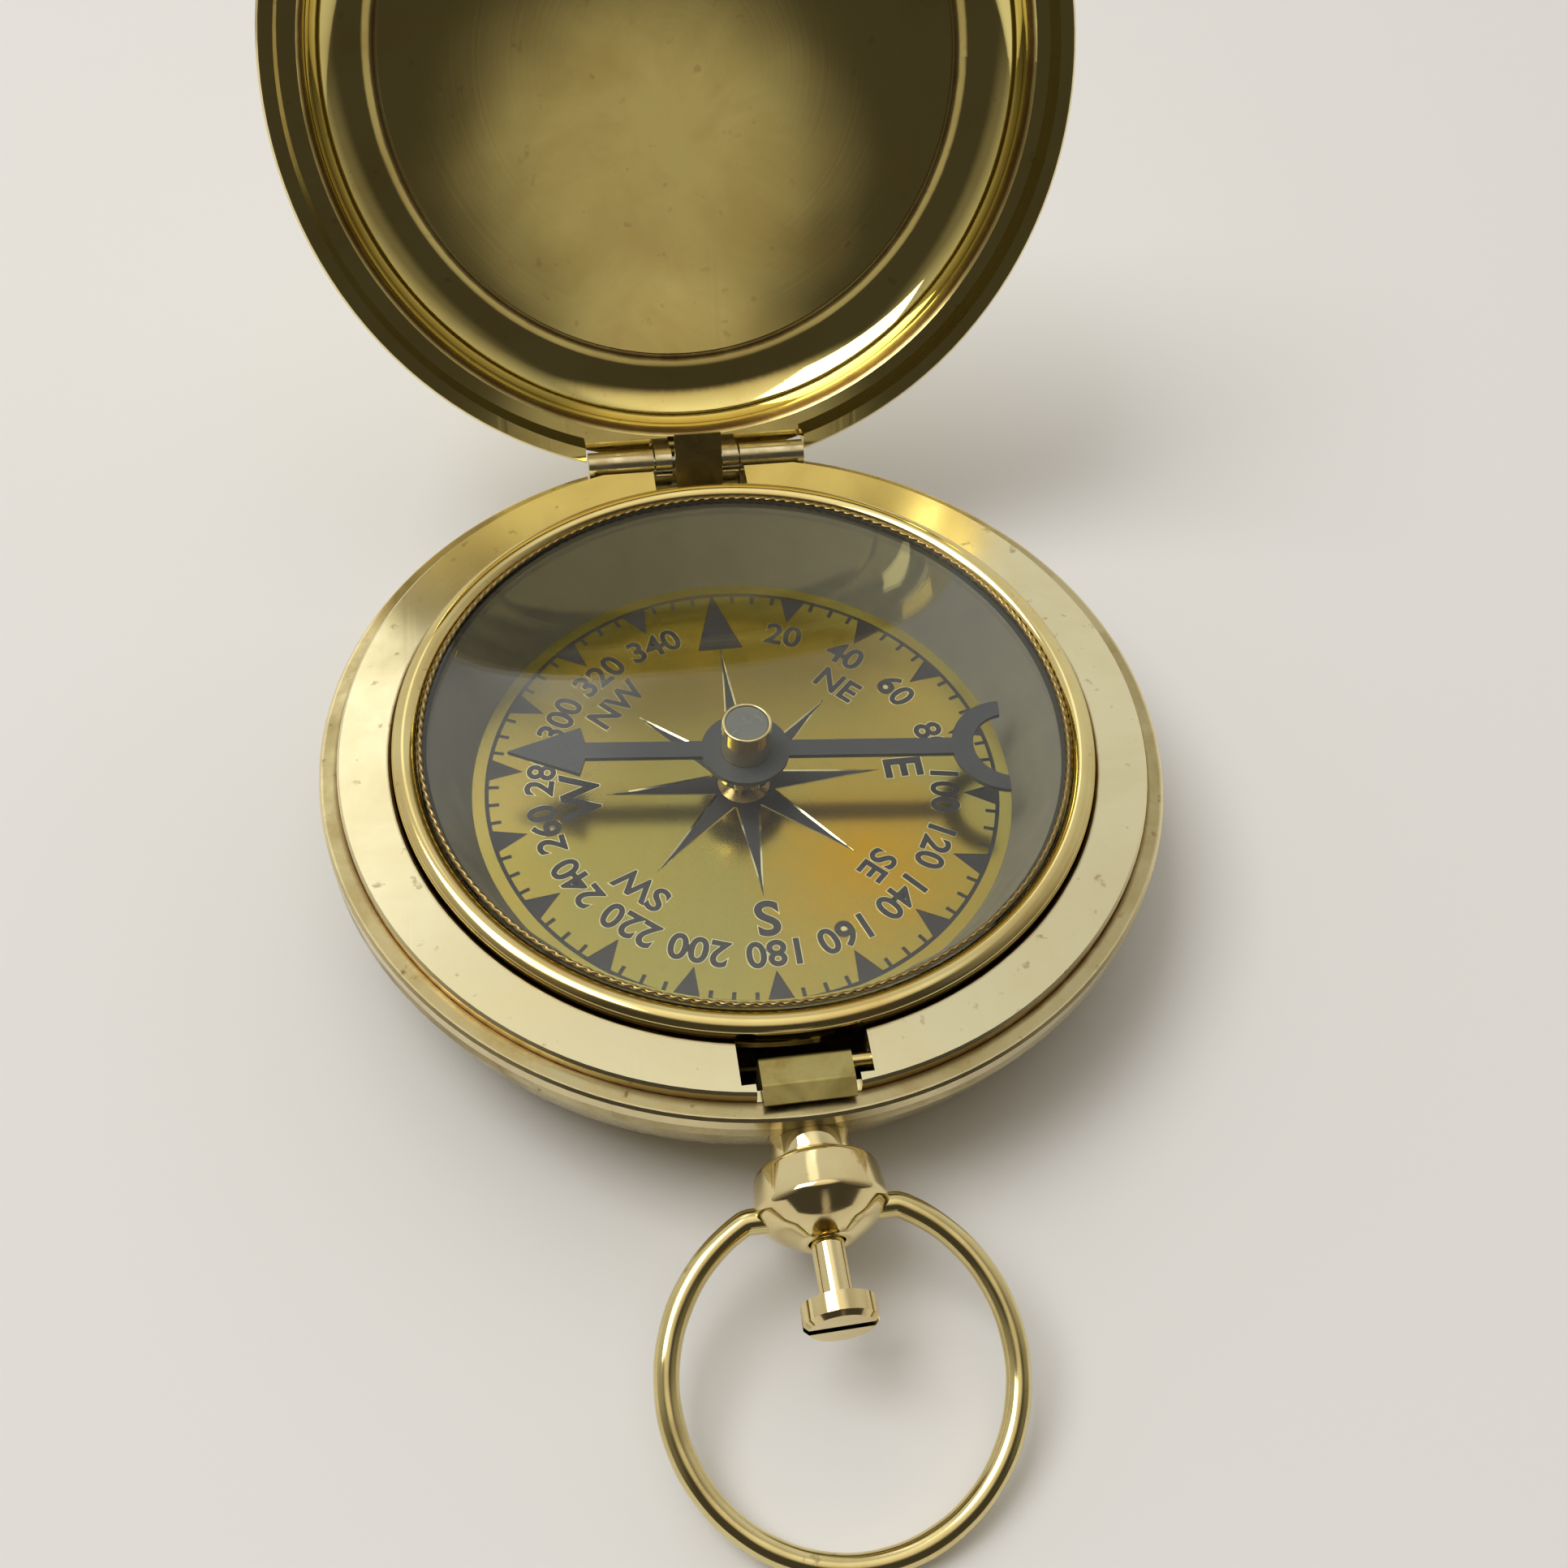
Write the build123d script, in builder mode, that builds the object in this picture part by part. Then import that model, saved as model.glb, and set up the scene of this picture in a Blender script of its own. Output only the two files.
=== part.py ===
from build123d import *
import os
from math import asin, cos, degrees, radians, sin, sqrt

# Pocket compass in a turned brass case with a sprung, hinged lid and a push button in the crown.
# Millimetres. The origin is the centre of the flat base and +Z is up.
# +Y points to the lid's hinge (north on the dial) and -Y to the crown.
# The lid is modelled shut, then turned back to the open place where it rests.

# Clearances
press_clearance = 0.02
running_clearance = 0.05
seat_gap = 0.05

# Case cup
case_radius = 25.0
rim_band_height = 1.8
rim_band_inset = 0.4
rim_edge = 0.15
ledge_height = 9.0
ledge_width = 1.1
case_wall = 1.2

# Top ring
ring_rise = 0.8
ring_depth = 1.8
ring_width = 3.08
ring_edge = 0.15

# Compass bowl and what it holds
bowl_wall = 0.5
bowl_floor = 1.0
bowl_foot_inset = 4.95
bowl_foot_width = 2.8
bowl_foot_height = 1.6
bowl_corner = 0.8
dial_thickness = 0.9
spacer_height = 5.05
spacer_foot_width = 2.7
spacer_lip = 0.5
glass_edge_thickness = 0.75
glass_inner_rise = 1.05
glass_outer_rise = 1.1
retainer_width = 0.36
retainer_height = 0.22
retainer_edge = 0.1

# Bezel
bezel_gap = 0.1
bezel_overhang = 0.93
bezel_skirt = 1.0
bezel_bead_height = 0.85
bowl_above_spacer = 0.15

# Dial marks
dial_margin = 0.75
scale_line = 0.25
tick_length = 0.85
tick_width = 0.24
tick_step = 5
pointer_step = 20
pointer_length = 2.1
pointer_width = 1.7
star_margin = 7.25
star_valley_radius = 2.0
star_points = 8
arrow_length = 4.85
north_ray_overlap = 0.3
arrow_width = 2.9
engraving_depth = 0.2
enamel_sink = 0.04

# Needle and its bearing
needle_height_over_dial = 3.2
needle_thickness = 0.3
needle_tip_gap = 1.6
needle_head_length = 4.3
needle_barb_width = 3.5
needle_back_slope = 0.45
needle_shaft_width = 1.18
needle_hub_radius = 2.65
needle_tail_gap = 3.25
crescent_radius = 3.4
crescent_thickness = 1.3
crescent_hollow_radius = 2.4
crescent_depth = 3.2
needle_turn = 5.5
cap_radius = 1.5
cap_rise = 2.45
cap_flange_radius = 1.85
cap_flange_depth = 1.55
cap_bore_radius = 0.95
jewel_radius = 1.25
jewel_thickness = 0.45
jewel_sink = 0.1
jewel_dimple_radius = 0.4
jewel_dimple_depth = 0.35
pivot_flange_radius = 1.6
pivot_flange_height = 0.6
pivot_radius = 0.6
pivot_spigot_radius = 0.78
pivot_cone_length = 1.5
pivot_point_radius = 0.06

# Lid
lid_wall_width = 1.0
lid_inner_depth = 5.25
lid_top_thickness = 0.95
lid_top_rise = 0.4
lid_band_height = 1.8
lid_shoulder_height = 1.2
lid_shoulder_width = 1.4
lid_ridge_rise = 0.4
lid_ridge_edge = 0.2
lid_dome_width = 3.9
lid_panel_border = 0.4
lid_panel_step = 0.15
lid_open_angle = 114.0

# Hinge
hinge_setback = 0.76
hinge_rise = 0.27
barrel_radius = 0.95
hinge_pin_radius = 0.45
hinge_half_width = 7.25
knuckle_gap = 0.12
lid_knuckle_outer = 2.8
lid_knuckle_inner = 1.7
hinge_notch_front = 1.39
hinge_notch_depth = 1.27
hinge_side_gap = 0.12
knuckle_foot_back = 0.51
knuckle_foot_front = 0.89
lid_arm_back = 0.36

# Lid spring
spring_slot_half_width = 3.05
lid_spring_width = 3.1
lid_spring_thickness = 0.35
lid_spring_length = 4.2
lid_spring_lean = 31.0
lid_spring_inset = 0.9
lid_spring_root_drop = 0.6
lid_spring_pin_radius = 0.4
lid_spring_pin_seat = 0.55

# Crown, push button and bow
crown_drop = 3.0
collar_radius = 2.15
collar_seat = 1.05
collar_length = 2.2
ball_radius = 3.6
ball_belt_radius = 3.3
ball_neck_radius = 1.95
ball_nose_radius = 1.3
ball_nose_bulge = 0.12
ball_shoulder_length = 0.5
ball_belt_length = 2.25
ball_nose_length = 1.7
stem_radius = 0.87
stem_reach = 3.15
head_radius = 1.95
head_length = 1.25
head_edge = 0.25
slot_width = 0.6
slot_depth = 0.7
slot_turn = 4.0
bow_radius = 8.87
bow_wire_radius = 0.66
bow_bend_radius = 1.0
bow_pin_inner = 2.2
bow_pin_outer = 3.72
bow_floor_gap = 0.3

# Catch and its spring
catch_width = 4.9
catch_notch_width = 7.0
catch_strip = 0.78
catch_depth = 2.28
catch_leg_step = 0.3
catch_leg_thickness = 1.1
catch_leg_length = 4.1
catch_front_gap = 0.1
catch_rise = 0.1
nose_reach = 0.37
nose_drop = 0.48
nose_tip_thickness = 0.1
nose_slope = 0.95
nose_side_gap = 0.3
catch_edge = 0.35
lid_groove_height = 0.62
lid_groove_depth = 0.45
lid_groove_drop = 0.04
press_travel = 0.6
guide_pin_radius = 0.43
guide_pin_height = 0.7
guide_pin_length = 5.6
guide_slot_depth = 0.9
catch_spring_thickness = 0.2
catch_spring_width = 1.7
catch_spring_post_radius = 0.7
catch_spring_post_x = 8.6
catch_spring_setback = 1.6
catch_spring_eye_wall = 0.25
catch_spring_tip_x = 1.2
catch_spring_bead = 0.3
catch_spring_head = 0.3

# Heights and radii that follow from the sizes above
side_radius = ledge_height - rim_band_height
side_centre = case_radius - rim_band_inset - side_radius
mouth_radius = case_radius - ledge_width
ring_radius = mouth_radius - press_clearance
ring_bore_radius = ring_radius - ring_width
ring_top = ledge_height + ring_rise
ring_seat = ledge_height - ring_depth
bezel_radius = ring_bore_radius - bezel_gap
bowl_radius = bezel_radius - bezel_overhang - press_clearance
bowl_inner_radius = bowl_radius - bowl_wall
bowl_foot_radius = bowl_radius - bowl_foot_inset
dial_radius = bowl_inner_radius - running_clearance
spacer_foot_radius = dial_radius - spacer_foot_width
spacer_top_radius = dial_radius - spacer_lip
scale_radius = spacer_foot_radius - dial_margin
star_radius = scale_radius - star_margin
arrow_base_radius = scale_radius - arrow_length
north_ray_radius = arrow_base_radius + north_ray_overlap
bowl_floor_top = case_wall + bowl_foot_height + bowl_floor
dial_top = bowl_floor_top + dial_thickness
spacer_top = dial_top + spacer_height
bowl_top = spacer_top + bowl_above_spacer
glass_edge_top = spacer_top + glass_edge_thickness
needle_tip = scale_radius - needle_tip_gap
needle_barb = needle_tip - needle_head_length
needle_neck = needle_barb - needle_back_slope
needle_tail = scale_radius - needle_tail_gap
needle_level = dial_top + needle_height_over_dial
needle_top = needle_level + needle_thickness / 2
needle_bottom = needle_level - needle_thickness / 2
cap_top = needle_top + cap_rise
jewel_bottom = cap_top - jewel_sink - jewel_thickness
lid_rim = ledge_height + seat_gap
lid_band_top = ledge_height + lid_band_height
lid_shoulder = ledge_height + lid_shoulder_height
lid_ceiling = ledge_height + lid_inner_depth
lid_top = lid_ceiling + lid_top_thickness
lid_inner_radius = case_radius - lid_wall_width
lid_ridge_radius = lid_inner_radius - lid_shoulder_width
lid_dome_foot_radius = lid_ridge_radius - lid_dome_width
lid_panel_radius = lid_dome_foot_radius - lid_panel_border
hinge_y = case_radius - hinge_setback
hinge_z = ledge_height + hinge_rise
hinge_axis = Axis((0, hinge_y, hinge_z), (1, 0, 0))
notch_front_y = hinge_y - hinge_notch_front
notch_floor_z = hinge_z - hinge_notch_depth
notch_half_width = hinge_half_width + hinge_side_gap
case_knuckle_inner = lid_knuckle_outer + knuckle_gap
crown_z = ledge_height - crown_drop
crown_axis = Axis((0, 0, crown_z), (0, 1, 0))
collar_back = -(case_radius - collar_seat)
collar_front = collar_back - collar_length
ball_back = ball_belt_length + ball_shoulder_length
ball_y = collar_front - ball_back
ball_nose = ball_y - ball_nose_length
head_back = ball_nose - stem_reach
stem_bore_radius = stem_radius + running_clearance
catch_back = ring_radius - catch_depth
catch_leg_back = catch_back - catch_leg_step
catch_leg_front = catch_leg_back + catch_leg_thickness
catch_spring_post_y = catch_leg_back - catch_spring_setback
catch_top = ring_top + catch_rise
catch_front = -(ring_radius - catch_strip - catch_front_gap)
catch_bottom = ledge_height - catch_leg_length
nose_tip = -(ring_radius + nose_reach)
nose_bottom = catch_top - nose_drop
guide_pin_y = -(catch_back + guide_pin_radius + running_clearance)
guide_pin_z = catch_top - guide_pin_height - running_clearance
lid_spring_root_radius = ring_bore_radius + lid_spring_inset
lid_spring_root_z = ledge_height - lid_spring_root_drop
far = 4 * case_radius

os.makedirs("parts", exist_ok=True)

# The case cup: a flat base, a rounded side and a straight rim band with a flat ledge on top
with BuildPart() as case_body:
    with BuildSketch(Plane.XZ) as case_outline:
        with BuildLine():
            Line((0, 0), (side_centre, 0))
            CenterArc((side_centre, side_radius), side_radius, -90, 90)
            Polyline(
                (side_centre + side_radius, side_radius),
                (case_radius, side_radius),
                (case_radius, ledge_height),
                (0, ledge_height),
                (0, 0),
            )
        make_face()
        chamfer(case_outline.vertices().group_by(Axis.X)[-1], rim_edge)
    revolve(axis=Axis.Z)
    with BuildSketch(Plane.XZ):
        with BuildLine():
            Line((0, case_wall), (side_centre, case_wall))
            CenterArc((side_centre, side_radius), side_radius - case_wall, -90, 90)
            Polyline(
                (side_centre + side_radius - case_wall, side_radius),
                (side_centre + side_radius - case_wall, ledge_height),
                (0, ledge_height),
                (0, case_wall),
            )
        make_face()
    revolve(axis=Axis.Z, mode=Mode.SUBTRACT)
    with BuildSketch(Plane.XY.offset(ring_seat)):
        Circle(mouth_radius)
    extrude(amount=ring_depth, mode=Mode.SUBTRACT)
    # Chord cut at the back for the hinge
    with BuildSketch(Plane.XY.offset(notch_floor_z)):
        with Locations((0, notch_front_y)):
            Rectangle(2 * notch_half_width, case_radius, align=(Align.CENTER, Align.MIN))
    extrude(amount=case_radius, mode=Mode.SUBTRACT)
    # Bore for the push button's stem and the seat of the crown's collar
    with BuildSketch(Plane.XZ.offset(-collar_back)):
        with Locations((0, crown_z)):
            Circle(collar_radius + press_clearance)
    extrude(amount=case_radius, mode=Mode.SUBTRACT)
    with BuildSketch(Plane.XZ):
        with Locations((0, crown_z)):
            Circle(stem_bore_radius)
    extrude(amount=far, mode=Mode.SUBTRACT)
case_body.part.label = "case_body"
export_step(case_body.part, "parts/case_body.step")

# The flat ring that closes the case round the bowl, notched for the catch and for the lid spring
with BuildPart() as top_ring:
    with BuildSketch(Plane.XY.offset(ring_seat)):
        Circle(ring_radius)
        Circle(ring_bore_radius, mode=Mode.SUBTRACT)
    extrude(amount=ring_top - ring_seat)
    chamfer(top_ring.edges().group_by(Axis.Z)[-1], ring_edge)
    # Catch notch, open to the bore, with a strip of the ring left in front of it
    catch_notch_front = ring_radius - catch_strip
    with BuildSketch(Plane.XY.offset(ring_seat)):
        with Locations((0, -catch_notch_front)):
            Rectangle(catch_notch_width, catch_notch_front, align=(Align.CENTER, Align.MIN))
    extrude(amount=far, mode=Mode.SUBTRACT)
    # Channel that lets the catch's nose out over the strip
    with BuildSketch(Plane.XY.offset(ledge_height)):
        Rectangle(catch_width + 2 * nose_side_gap, far, align=(Align.CENTER, Align.MAX))
    extrude(amount=far, mode=Mode.SUBTRACT)
    # Blind slot for the end of the guide pin
    with BuildSketch(Plane.YZ.offset(catch_notch_width / 2)):
        with Locations((guide_pin_y + press_travel / 2, guide_pin_z)):
            SlotCenterToCenter(press_travel, 2 * (guide_pin_radius + running_clearance))
    extrude(amount=guide_slot_depth, mode=Mode.SUBTRACT)
    # Chord cut for the hinge, and the slot in which the lid spring stands
    with BuildSketch(Plane.XY.offset(notch_floor_z)):
        with Locations((0, notch_front_y)):
            Rectangle(2 * notch_half_width, case_radius, align=(Align.CENTER, Align.MIN))
    extrude(amount=far, mode=Mode.SUBTRACT)
    with BuildSketch(Plane.XY.offset(ring_seat)):
        Rectangle(2 * spring_slot_half_width, notch_front_y, align=(Align.CENTER, Align.MIN))
    extrude(amount=far, mode=Mode.SUBTRACT)
    with BuildSketch(Plane.YZ):
        with Locations((lid_spring_root_radius, lid_spring_root_z)):
            Circle(lid_spring_pin_radius + press_clearance)
    extrude(amount=spring_slot_half_width + lid_spring_pin_seat, both=True, mode=Mode.SUBTRACT)
top_ring.part.label = "top_ring"
export_step(top_ring.part, "parts/top_ring.step")

# The bowl: a thin cup on a foot ring that stands on the case's floor
with BuildPart() as compass_bowl:
    bowl_bottom = case_wall + bowl_foot_height
    with BuildSketch(Plane.XZ):
        Polygon(
            (0, bowl_bottom),
            (bowl_foot_radius - bowl_foot_width, bowl_bottom),
            (bowl_foot_radius - bowl_foot_width, case_wall),
            (bowl_foot_radius, case_wall),
            (bowl_foot_radius, bowl_bottom),
            (bowl_radius - bowl_corner, bowl_bottom),
            (bowl_radius, bowl_bottom + bowl_corner),
            (bowl_radius, bowl_top),
            (bowl_inner_radius, bowl_top),
            (bowl_inner_radius, bowl_floor_top),
            (0, bowl_floor_top),
            align=None,
        )
    revolve(axis=Axis.Z)
    with BuildSketch(Plane.XY):
        Circle(pivot_spigot_radius + press_clearance)
    extrude(amount=far, mode=Mode.SUBTRACT)
compass_bowl.part.label = "compass_bowl"
export_step(compass_bowl.part, "parts/compass_bowl.step")

# Marks of the dial in plan: scale circle, ticks, pointers, wind rose and north arrow
with BuildSketch(Plane.XY.offset(dial_top)) as dial_marks:
    Circle(scale_radius)
    Circle(scale_radius - scale_line, mode=Mode.SUBTRACT)
    with PolarLocations(scale_radius - tick_length / 2, 360 // tick_step):
        Rectangle(tick_length, tick_width)
    with PolarLocations(
        scale_radius - scale_line / 2,
        360 // pointer_step - 1,
        start_angle=90 + pointer_step,
        angular_range=360 - 2 * pointer_step,
        endpoint=True,
    ):
        Polygon((0, -pointer_width / 2), (0, pointer_width / 2), (-pointer_length, 0), align=None)
    Polygon(
        (0, scale_radius),
        (-arrow_width / 2, arrow_base_radius),
        (arrow_width / 2, arrow_base_radius),
        align=None,
    )
    star_outline = []
    for point in range(star_points):
        tip_bearing = radians(90 - point * 360 / star_points)
        valley_bearing = tip_bearing - radians(180 / star_points)
        tip_radius = north_ray_radius if point == 0 else star_radius
        star_outline.append((tip_radius * cos(tip_bearing), tip_radius * sin(tip_bearing)))
        star_outline.append(
            (star_valley_radius * cos(valley_bearing), star_valley_radius * sin(valley_bearing))
        )
    Polygon(*star_outline, align=None)
    Circle(pivot_flange_radius, mode=Mode.SUBTRACT)

# The dial: a flat brass plate with the marks engraved in it
with BuildPart() as dial:
    with BuildSketch(Plane.XY.offset(bowl_floor_top)):
        Circle(dial_radius)
        Circle(pivot_spigot_radius + press_clearance, mode=Mode.SUBTRACT)
    extrude(amount=dial_thickness)
    extrude(dial_marks.sketch, amount=-engraving_depth, mode=Mode.SUBTRACT)
dial.part.label = "dial"
export_step(dial.part, "parts/dial.step")

# Black enamel that fills the engraving to just under the dial's surface
with BuildPart() as dial_enamel:
    extrude(dial_marks.sketch.moved(Location((0, 0, -engraving_depth))), amount=engraving_depth - enamel_sink)
dial_enamel.part.label = "dial_enamel"
export_step(dial_enamel.part, "parts/dial_enamel.step")

# Conical ring that holds the dial down and carries the glass
with BuildPart() as spacer_ring:
    with BuildSketch(Plane.XZ):
        Polygon(
            (spacer_foot_radius, dial_top),
            (dial_radius, dial_top),
            (dial_radius, spacer_top),
            (spacer_top_radius, spacer_top),
            align=None,
        )
    revolve(axis=Axis.Z)
spacer_ring.part.label = "spacer_ring"
export_step(spacer_ring.part, "parts/spacer_ring.step")

# Domed glass with a flat seat round its edge
with BuildPart() as glass:
    with BuildSketch(Plane.XZ):
        with BuildLine():
            Line((0, spacer_top + glass_inner_rise), (0, glass_edge_top + glass_outer_rise))
            TangentArc(
                (0, glass_edge_top + glass_outer_rise),
                (spacer_top_radius, glass_edge_top),
                tangent=(1, 0),
            )
            Polyline(
                (spacer_top_radius, glass_edge_top),
                (dial_radius, glass_edge_top),
                (dial_radius, spacer_top),
                (spacer_top_radius, spacer_top),
            )
            TangentArc((0, spacer_top + glass_inner_rise), (spacer_top_radius, spacer_top), tangent=(1, 0))
        make_face()
    revolve(axis=Axis.Z)
glass.part.label = "glass"
export_step(glass.part, "parts/glass.step")

# Sprung wire that keeps the glass down inside the bezel
with BuildPart() as glass_retaining_ring:
    with BuildSketch(Plane.XZ):
        Polygon(
            (dial_radius - retainer_width, glass_edge_top),
            (dial_radius, glass_edge_top),
            (dial_radius, glass_edge_top + retainer_height - retainer_edge),
            (dial_radius - retainer_edge, glass_edge_top + retainer_height),
            (dial_radius - retainer_width + retainer_edge, glass_edge_top + retainer_height),
            (dial_radius - retainer_width, glass_edge_top + retainer_height - retainer_edge),
            align=None,
        )
    revolve(axis=Axis.Z)
glass_retaining_ring.part.label = "glass_retaining_ring"
export_step(glass_retaining_ring.part, "parts/glass_retaining_ring.step")

# Bezel: a skirt round the bowl's wall under a rounded bead
with BuildPart() as bezel:
    bezel_seat = bowl_top + press_clearance
    bead_shoulder = bezel_seat + bezel_bead_height / 3
    with BuildSketch(Plane.XZ):
        with BuildLine():
            Polyline(
                (bowl_inner_radius, glass_edge_top),
                (bowl_inner_radius, bezel_seat),
                (bowl_radius + press_clearance, bezel_seat),
                (bowl_radius + press_clearance, bezel_seat - bezel_skirt),
                (bezel_radius, bezel_seat - bezel_skirt),
                (bezel_radius, bead_shoulder),
            )
            ThreePointArc(
                (bezel_radius, bead_shoulder),
                ((bezel_radius + bowl_inner_radius) / 2, bezel_seat + bezel_bead_height),
                (bowl_inner_radius, glass_edge_top),
            )
        make_face()
    revolve(axis=Axis.Z)
bezel.part.label = "bezel"
export_step(bezel.part, "parts/bezel.step")

# Pivot: a spigot through dial and bowl, a flange on the dial and a pointed post
with BuildPart() as pivot_post:
    pivot_tip = jewel_bottom + jewel_dimple_depth - 2 * seat_gap
    with BuildSketch(Plane.XZ):
        Polygon(
            (0, case_wall + bowl_foot_height),
            (pivot_spigot_radius, case_wall + bowl_foot_height),
            (pivot_spigot_radius, dial_top),
            (pivot_flange_radius, dial_top),
            (pivot_radius, dial_top + pivot_flange_height),
            (pivot_radius, pivot_tip - pivot_cone_length),
            (pivot_point_radius, pivot_tip),
            (0, pivot_tip),
            align=None,
        )
    revolve(axis=Axis.Z)
pivot_post.part.label = "pivot_post"
export_step(pivot_post.part, "parts/pivot_post.step")

# Needle: an arrow, a hub disc and a crescent tail, cut from one strip of steel
needle_bearing = radians(180 - needle_turn)
needle_plane = Plane(
    origin=(0, 0, needle_bottom), x_dir=(cos(needle_bearing), sin(needle_bearing), 0), z_dir=(0, 0, 1)
)
with BuildPart() as needle:
    with BuildSketch(needle_plane):
        Polygon(
            (needle_tip, 0),
            (needle_barb, needle_barb_width / 2),
            (needle_neck, 0),
            (needle_barb, -needle_barb_width / 2),
            align=None,
        )
        with Locations((-(needle_tail + crescent_radius), 0)):
            Circle(crescent_radius)
        with Locations((-(needle_tail + crescent_thickness + crescent_hollow_radius), 0)):
            Circle(crescent_hollow_radius, mode=Mode.SUBTRACT)
        with Locations((-(needle_tail + crescent_depth), 0)):
            Rectangle(
                2 * crescent_radius,
                2 * crescent_radius,
                align=(Align.MAX, Align.CENTER),
                mode=Mode.SUBTRACT,
            )
        with Locations((needle_barb, 0)):
            Rectangle(
                needle_barb + needle_tail + crescent_thickness / 2,
                needle_shaft_width,
                align=(Align.MAX, Align.CENTER),
            )
        Circle(needle_hub_radius)
        Circle(cap_radius + press_clearance, mode=Mode.SUBTRACT)
    extrude(amount=needle_thickness)
needle.part.label = "needle"
export_step(needle.part, "parts/needle.step")

# Brass cap that carries the needle, bored for the pivot and recessed for the jewel
with BuildPart() as needle_cap:
    with BuildSketch(Plane.XZ):
        Polygon(
            (cap_bore_radius, needle_bottom - cap_flange_depth),
            (cap_flange_radius, needle_bottom - cap_flange_depth),
            (cap_flange_radius, needle_bottom),
            (cap_radius, needle_bottom),
            (cap_radius, cap_top),
            (jewel_radius + press_clearance, cap_top),
            (jewel_radius + press_clearance, jewel_bottom),
            (cap_bore_radius, jewel_bottom),
            align=None,
        )
    revolve(axis=Axis.Z)
needle_cap.part.label = "needle_cap"
export_step(needle_cap.part, "parts/needle_cap.step")

# Jewel: a disc with a dimple underneath that turns on the pivot's point
with BuildPart() as cap_jewel:
    with BuildSketch(Plane.XZ):
        Polygon(
            (0, jewel_bottom + jewel_dimple_depth),
            (jewel_dimple_radius, jewel_bottom),
            (jewel_radius, jewel_bottom),
            (jewel_radius, jewel_bottom + jewel_thickness),
            (0, jewel_bottom + jewel_thickness),
            align=None,
        )
    revolve(axis=Axis.Z)
cap_jewel.part.label = "cap_jewel"
export_step(cap_jewel.part, "parts/cap_jewel.step")

# Lid, drawn shut: a rim band over the top ring, a rounded shoulder and a shallow domed top
with BuildPart() as lid_shut:
    dome_radius = lid_top - lid_band_top
    dome_centre = case_radius - rim_band_inset - dome_radius
    ridge_top = lid_shoulder + lid_ridge_rise
    dome_foot = lid_ceiling - lid_panel_step
    with BuildSketch(Plane.XZ) as lid_outline:
        with BuildLine():
            ThreePointArc(
                (-dome_centre, lid_top),
                (0, lid_top + lid_top_rise),
                (dome_centre, lid_top),
            )
            CenterArc((dome_centre, lid_band_top), dome_radius, 0, 90)
            Polyline(
                (dome_centre + dome_radius, lid_band_top),
                (case_radius, lid_band_top),
                (case_radius, lid_rim),
                (-case_radius, lid_rim),
                (-case_radius, lid_band_top),
                (-dome_centre - dome_radius, lid_band_top),
            )
            CenterArc((-dome_centre, lid_band_top), dome_radius, 90, 90)
        make_face()
        split(bisect_by=Plane.YZ)
        chamfer(lid_outline.vertices().group_by(Axis.X)[-1], rim_edge)
    revolve(axis=Axis.Z)
    with BuildSketch(Plane.XZ) as lid_hollow:
        with BuildLine():
            Polyline(
                (0, lid_ceiling),
                (0, lid_rim),
                (lid_inner_radius, lid_rim),
                (lid_inner_radius, lid_shoulder),
                (lid_ridge_radius, lid_shoulder),
                (lid_ridge_radius, ridge_top),
            )
            EllipticalCenterArc(
                (lid_dome_foot_radius, ridge_top),
                lid_ridge_radius - lid_dome_foot_radius,
                dome_foot - ridge_top,
                start_angle=0,
                arc_size=90,
            )
            Polyline(
                (lid_dome_foot_radius, dome_foot),
                (lid_panel_radius, dome_foot),
                (lid_panel_radius, lid_ceiling),
                (0, lid_ceiling),
            )
        make_face()
        chamfer(lid_hollow.vertices().sort_by_distance((lid_ridge_radius, lid_shoulder))[0], lid_ridge_edge)
    revolve(axis=Axis.Z, mode=Mode.SUBTRACT)
    # Gap at the back for the hinge barrels
    with BuildSketch(Plane.XY.offset(lid_rim)):
        with Locations((0, notch_front_y)):
            Rectangle(2 * notch_half_width, case_radius, align=(Align.CENTER, Align.MIN))
    extrude(amount=lid_band_top - lid_rim, mode=Mode.SUBTRACT)
    # Groove inside the front of the rim that the catch's nose springs into
    with BuildSketch(Plane.XY.offset(nose_bottom - lid_groove_drop)):
        with Locations((0, -lid_inner_radius - lid_groove_depth)):
            Rectangle(catch_width + 2 * nose_side_gap, lid_inner_radius, align=(Align.CENTER, Align.MIN))
    extrude(amount=lid_groove_height, mode=Mode.SUBTRACT)
lid = lid_shut.part.rotate(hinge_axis, -lid_open_angle)
lid.label = "lid"
export_step(lid, "parts/lid.step")

# Case half of the hinge: two barrels on feet soldered into the chord cut
with BuildPart() as case_hinge_knuckles:
    with BuildSketch(Plane.YZ.offset(case_knuckle_inner)):
        with Locations((hinge_y, hinge_z)):
            Circle(barrel_radius)
        with Locations((hinge_y - knuckle_foot_front, notch_floor_z)):
            Rectangle(
                knuckle_foot_front + knuckle_foot_back,
                hinge_notch_depth,
                align=(Align.MIN, Align.MIN),
            )
        with Locations((hinge_y, hinge_z)):
            Circle(hinge_pin_radius + press_clearance, mode=Mode.SUBTRACT)
    extrude(amount=hinge_half_width - case_knuckle_inner)
    mirror(about=Plane.YZ)
case_hinge_knuckles.part.label = "case_hinge_knuckles"
export_step(case_hinge_knuckles.part, "parts/case_hinge_knuckles.step")

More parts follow.
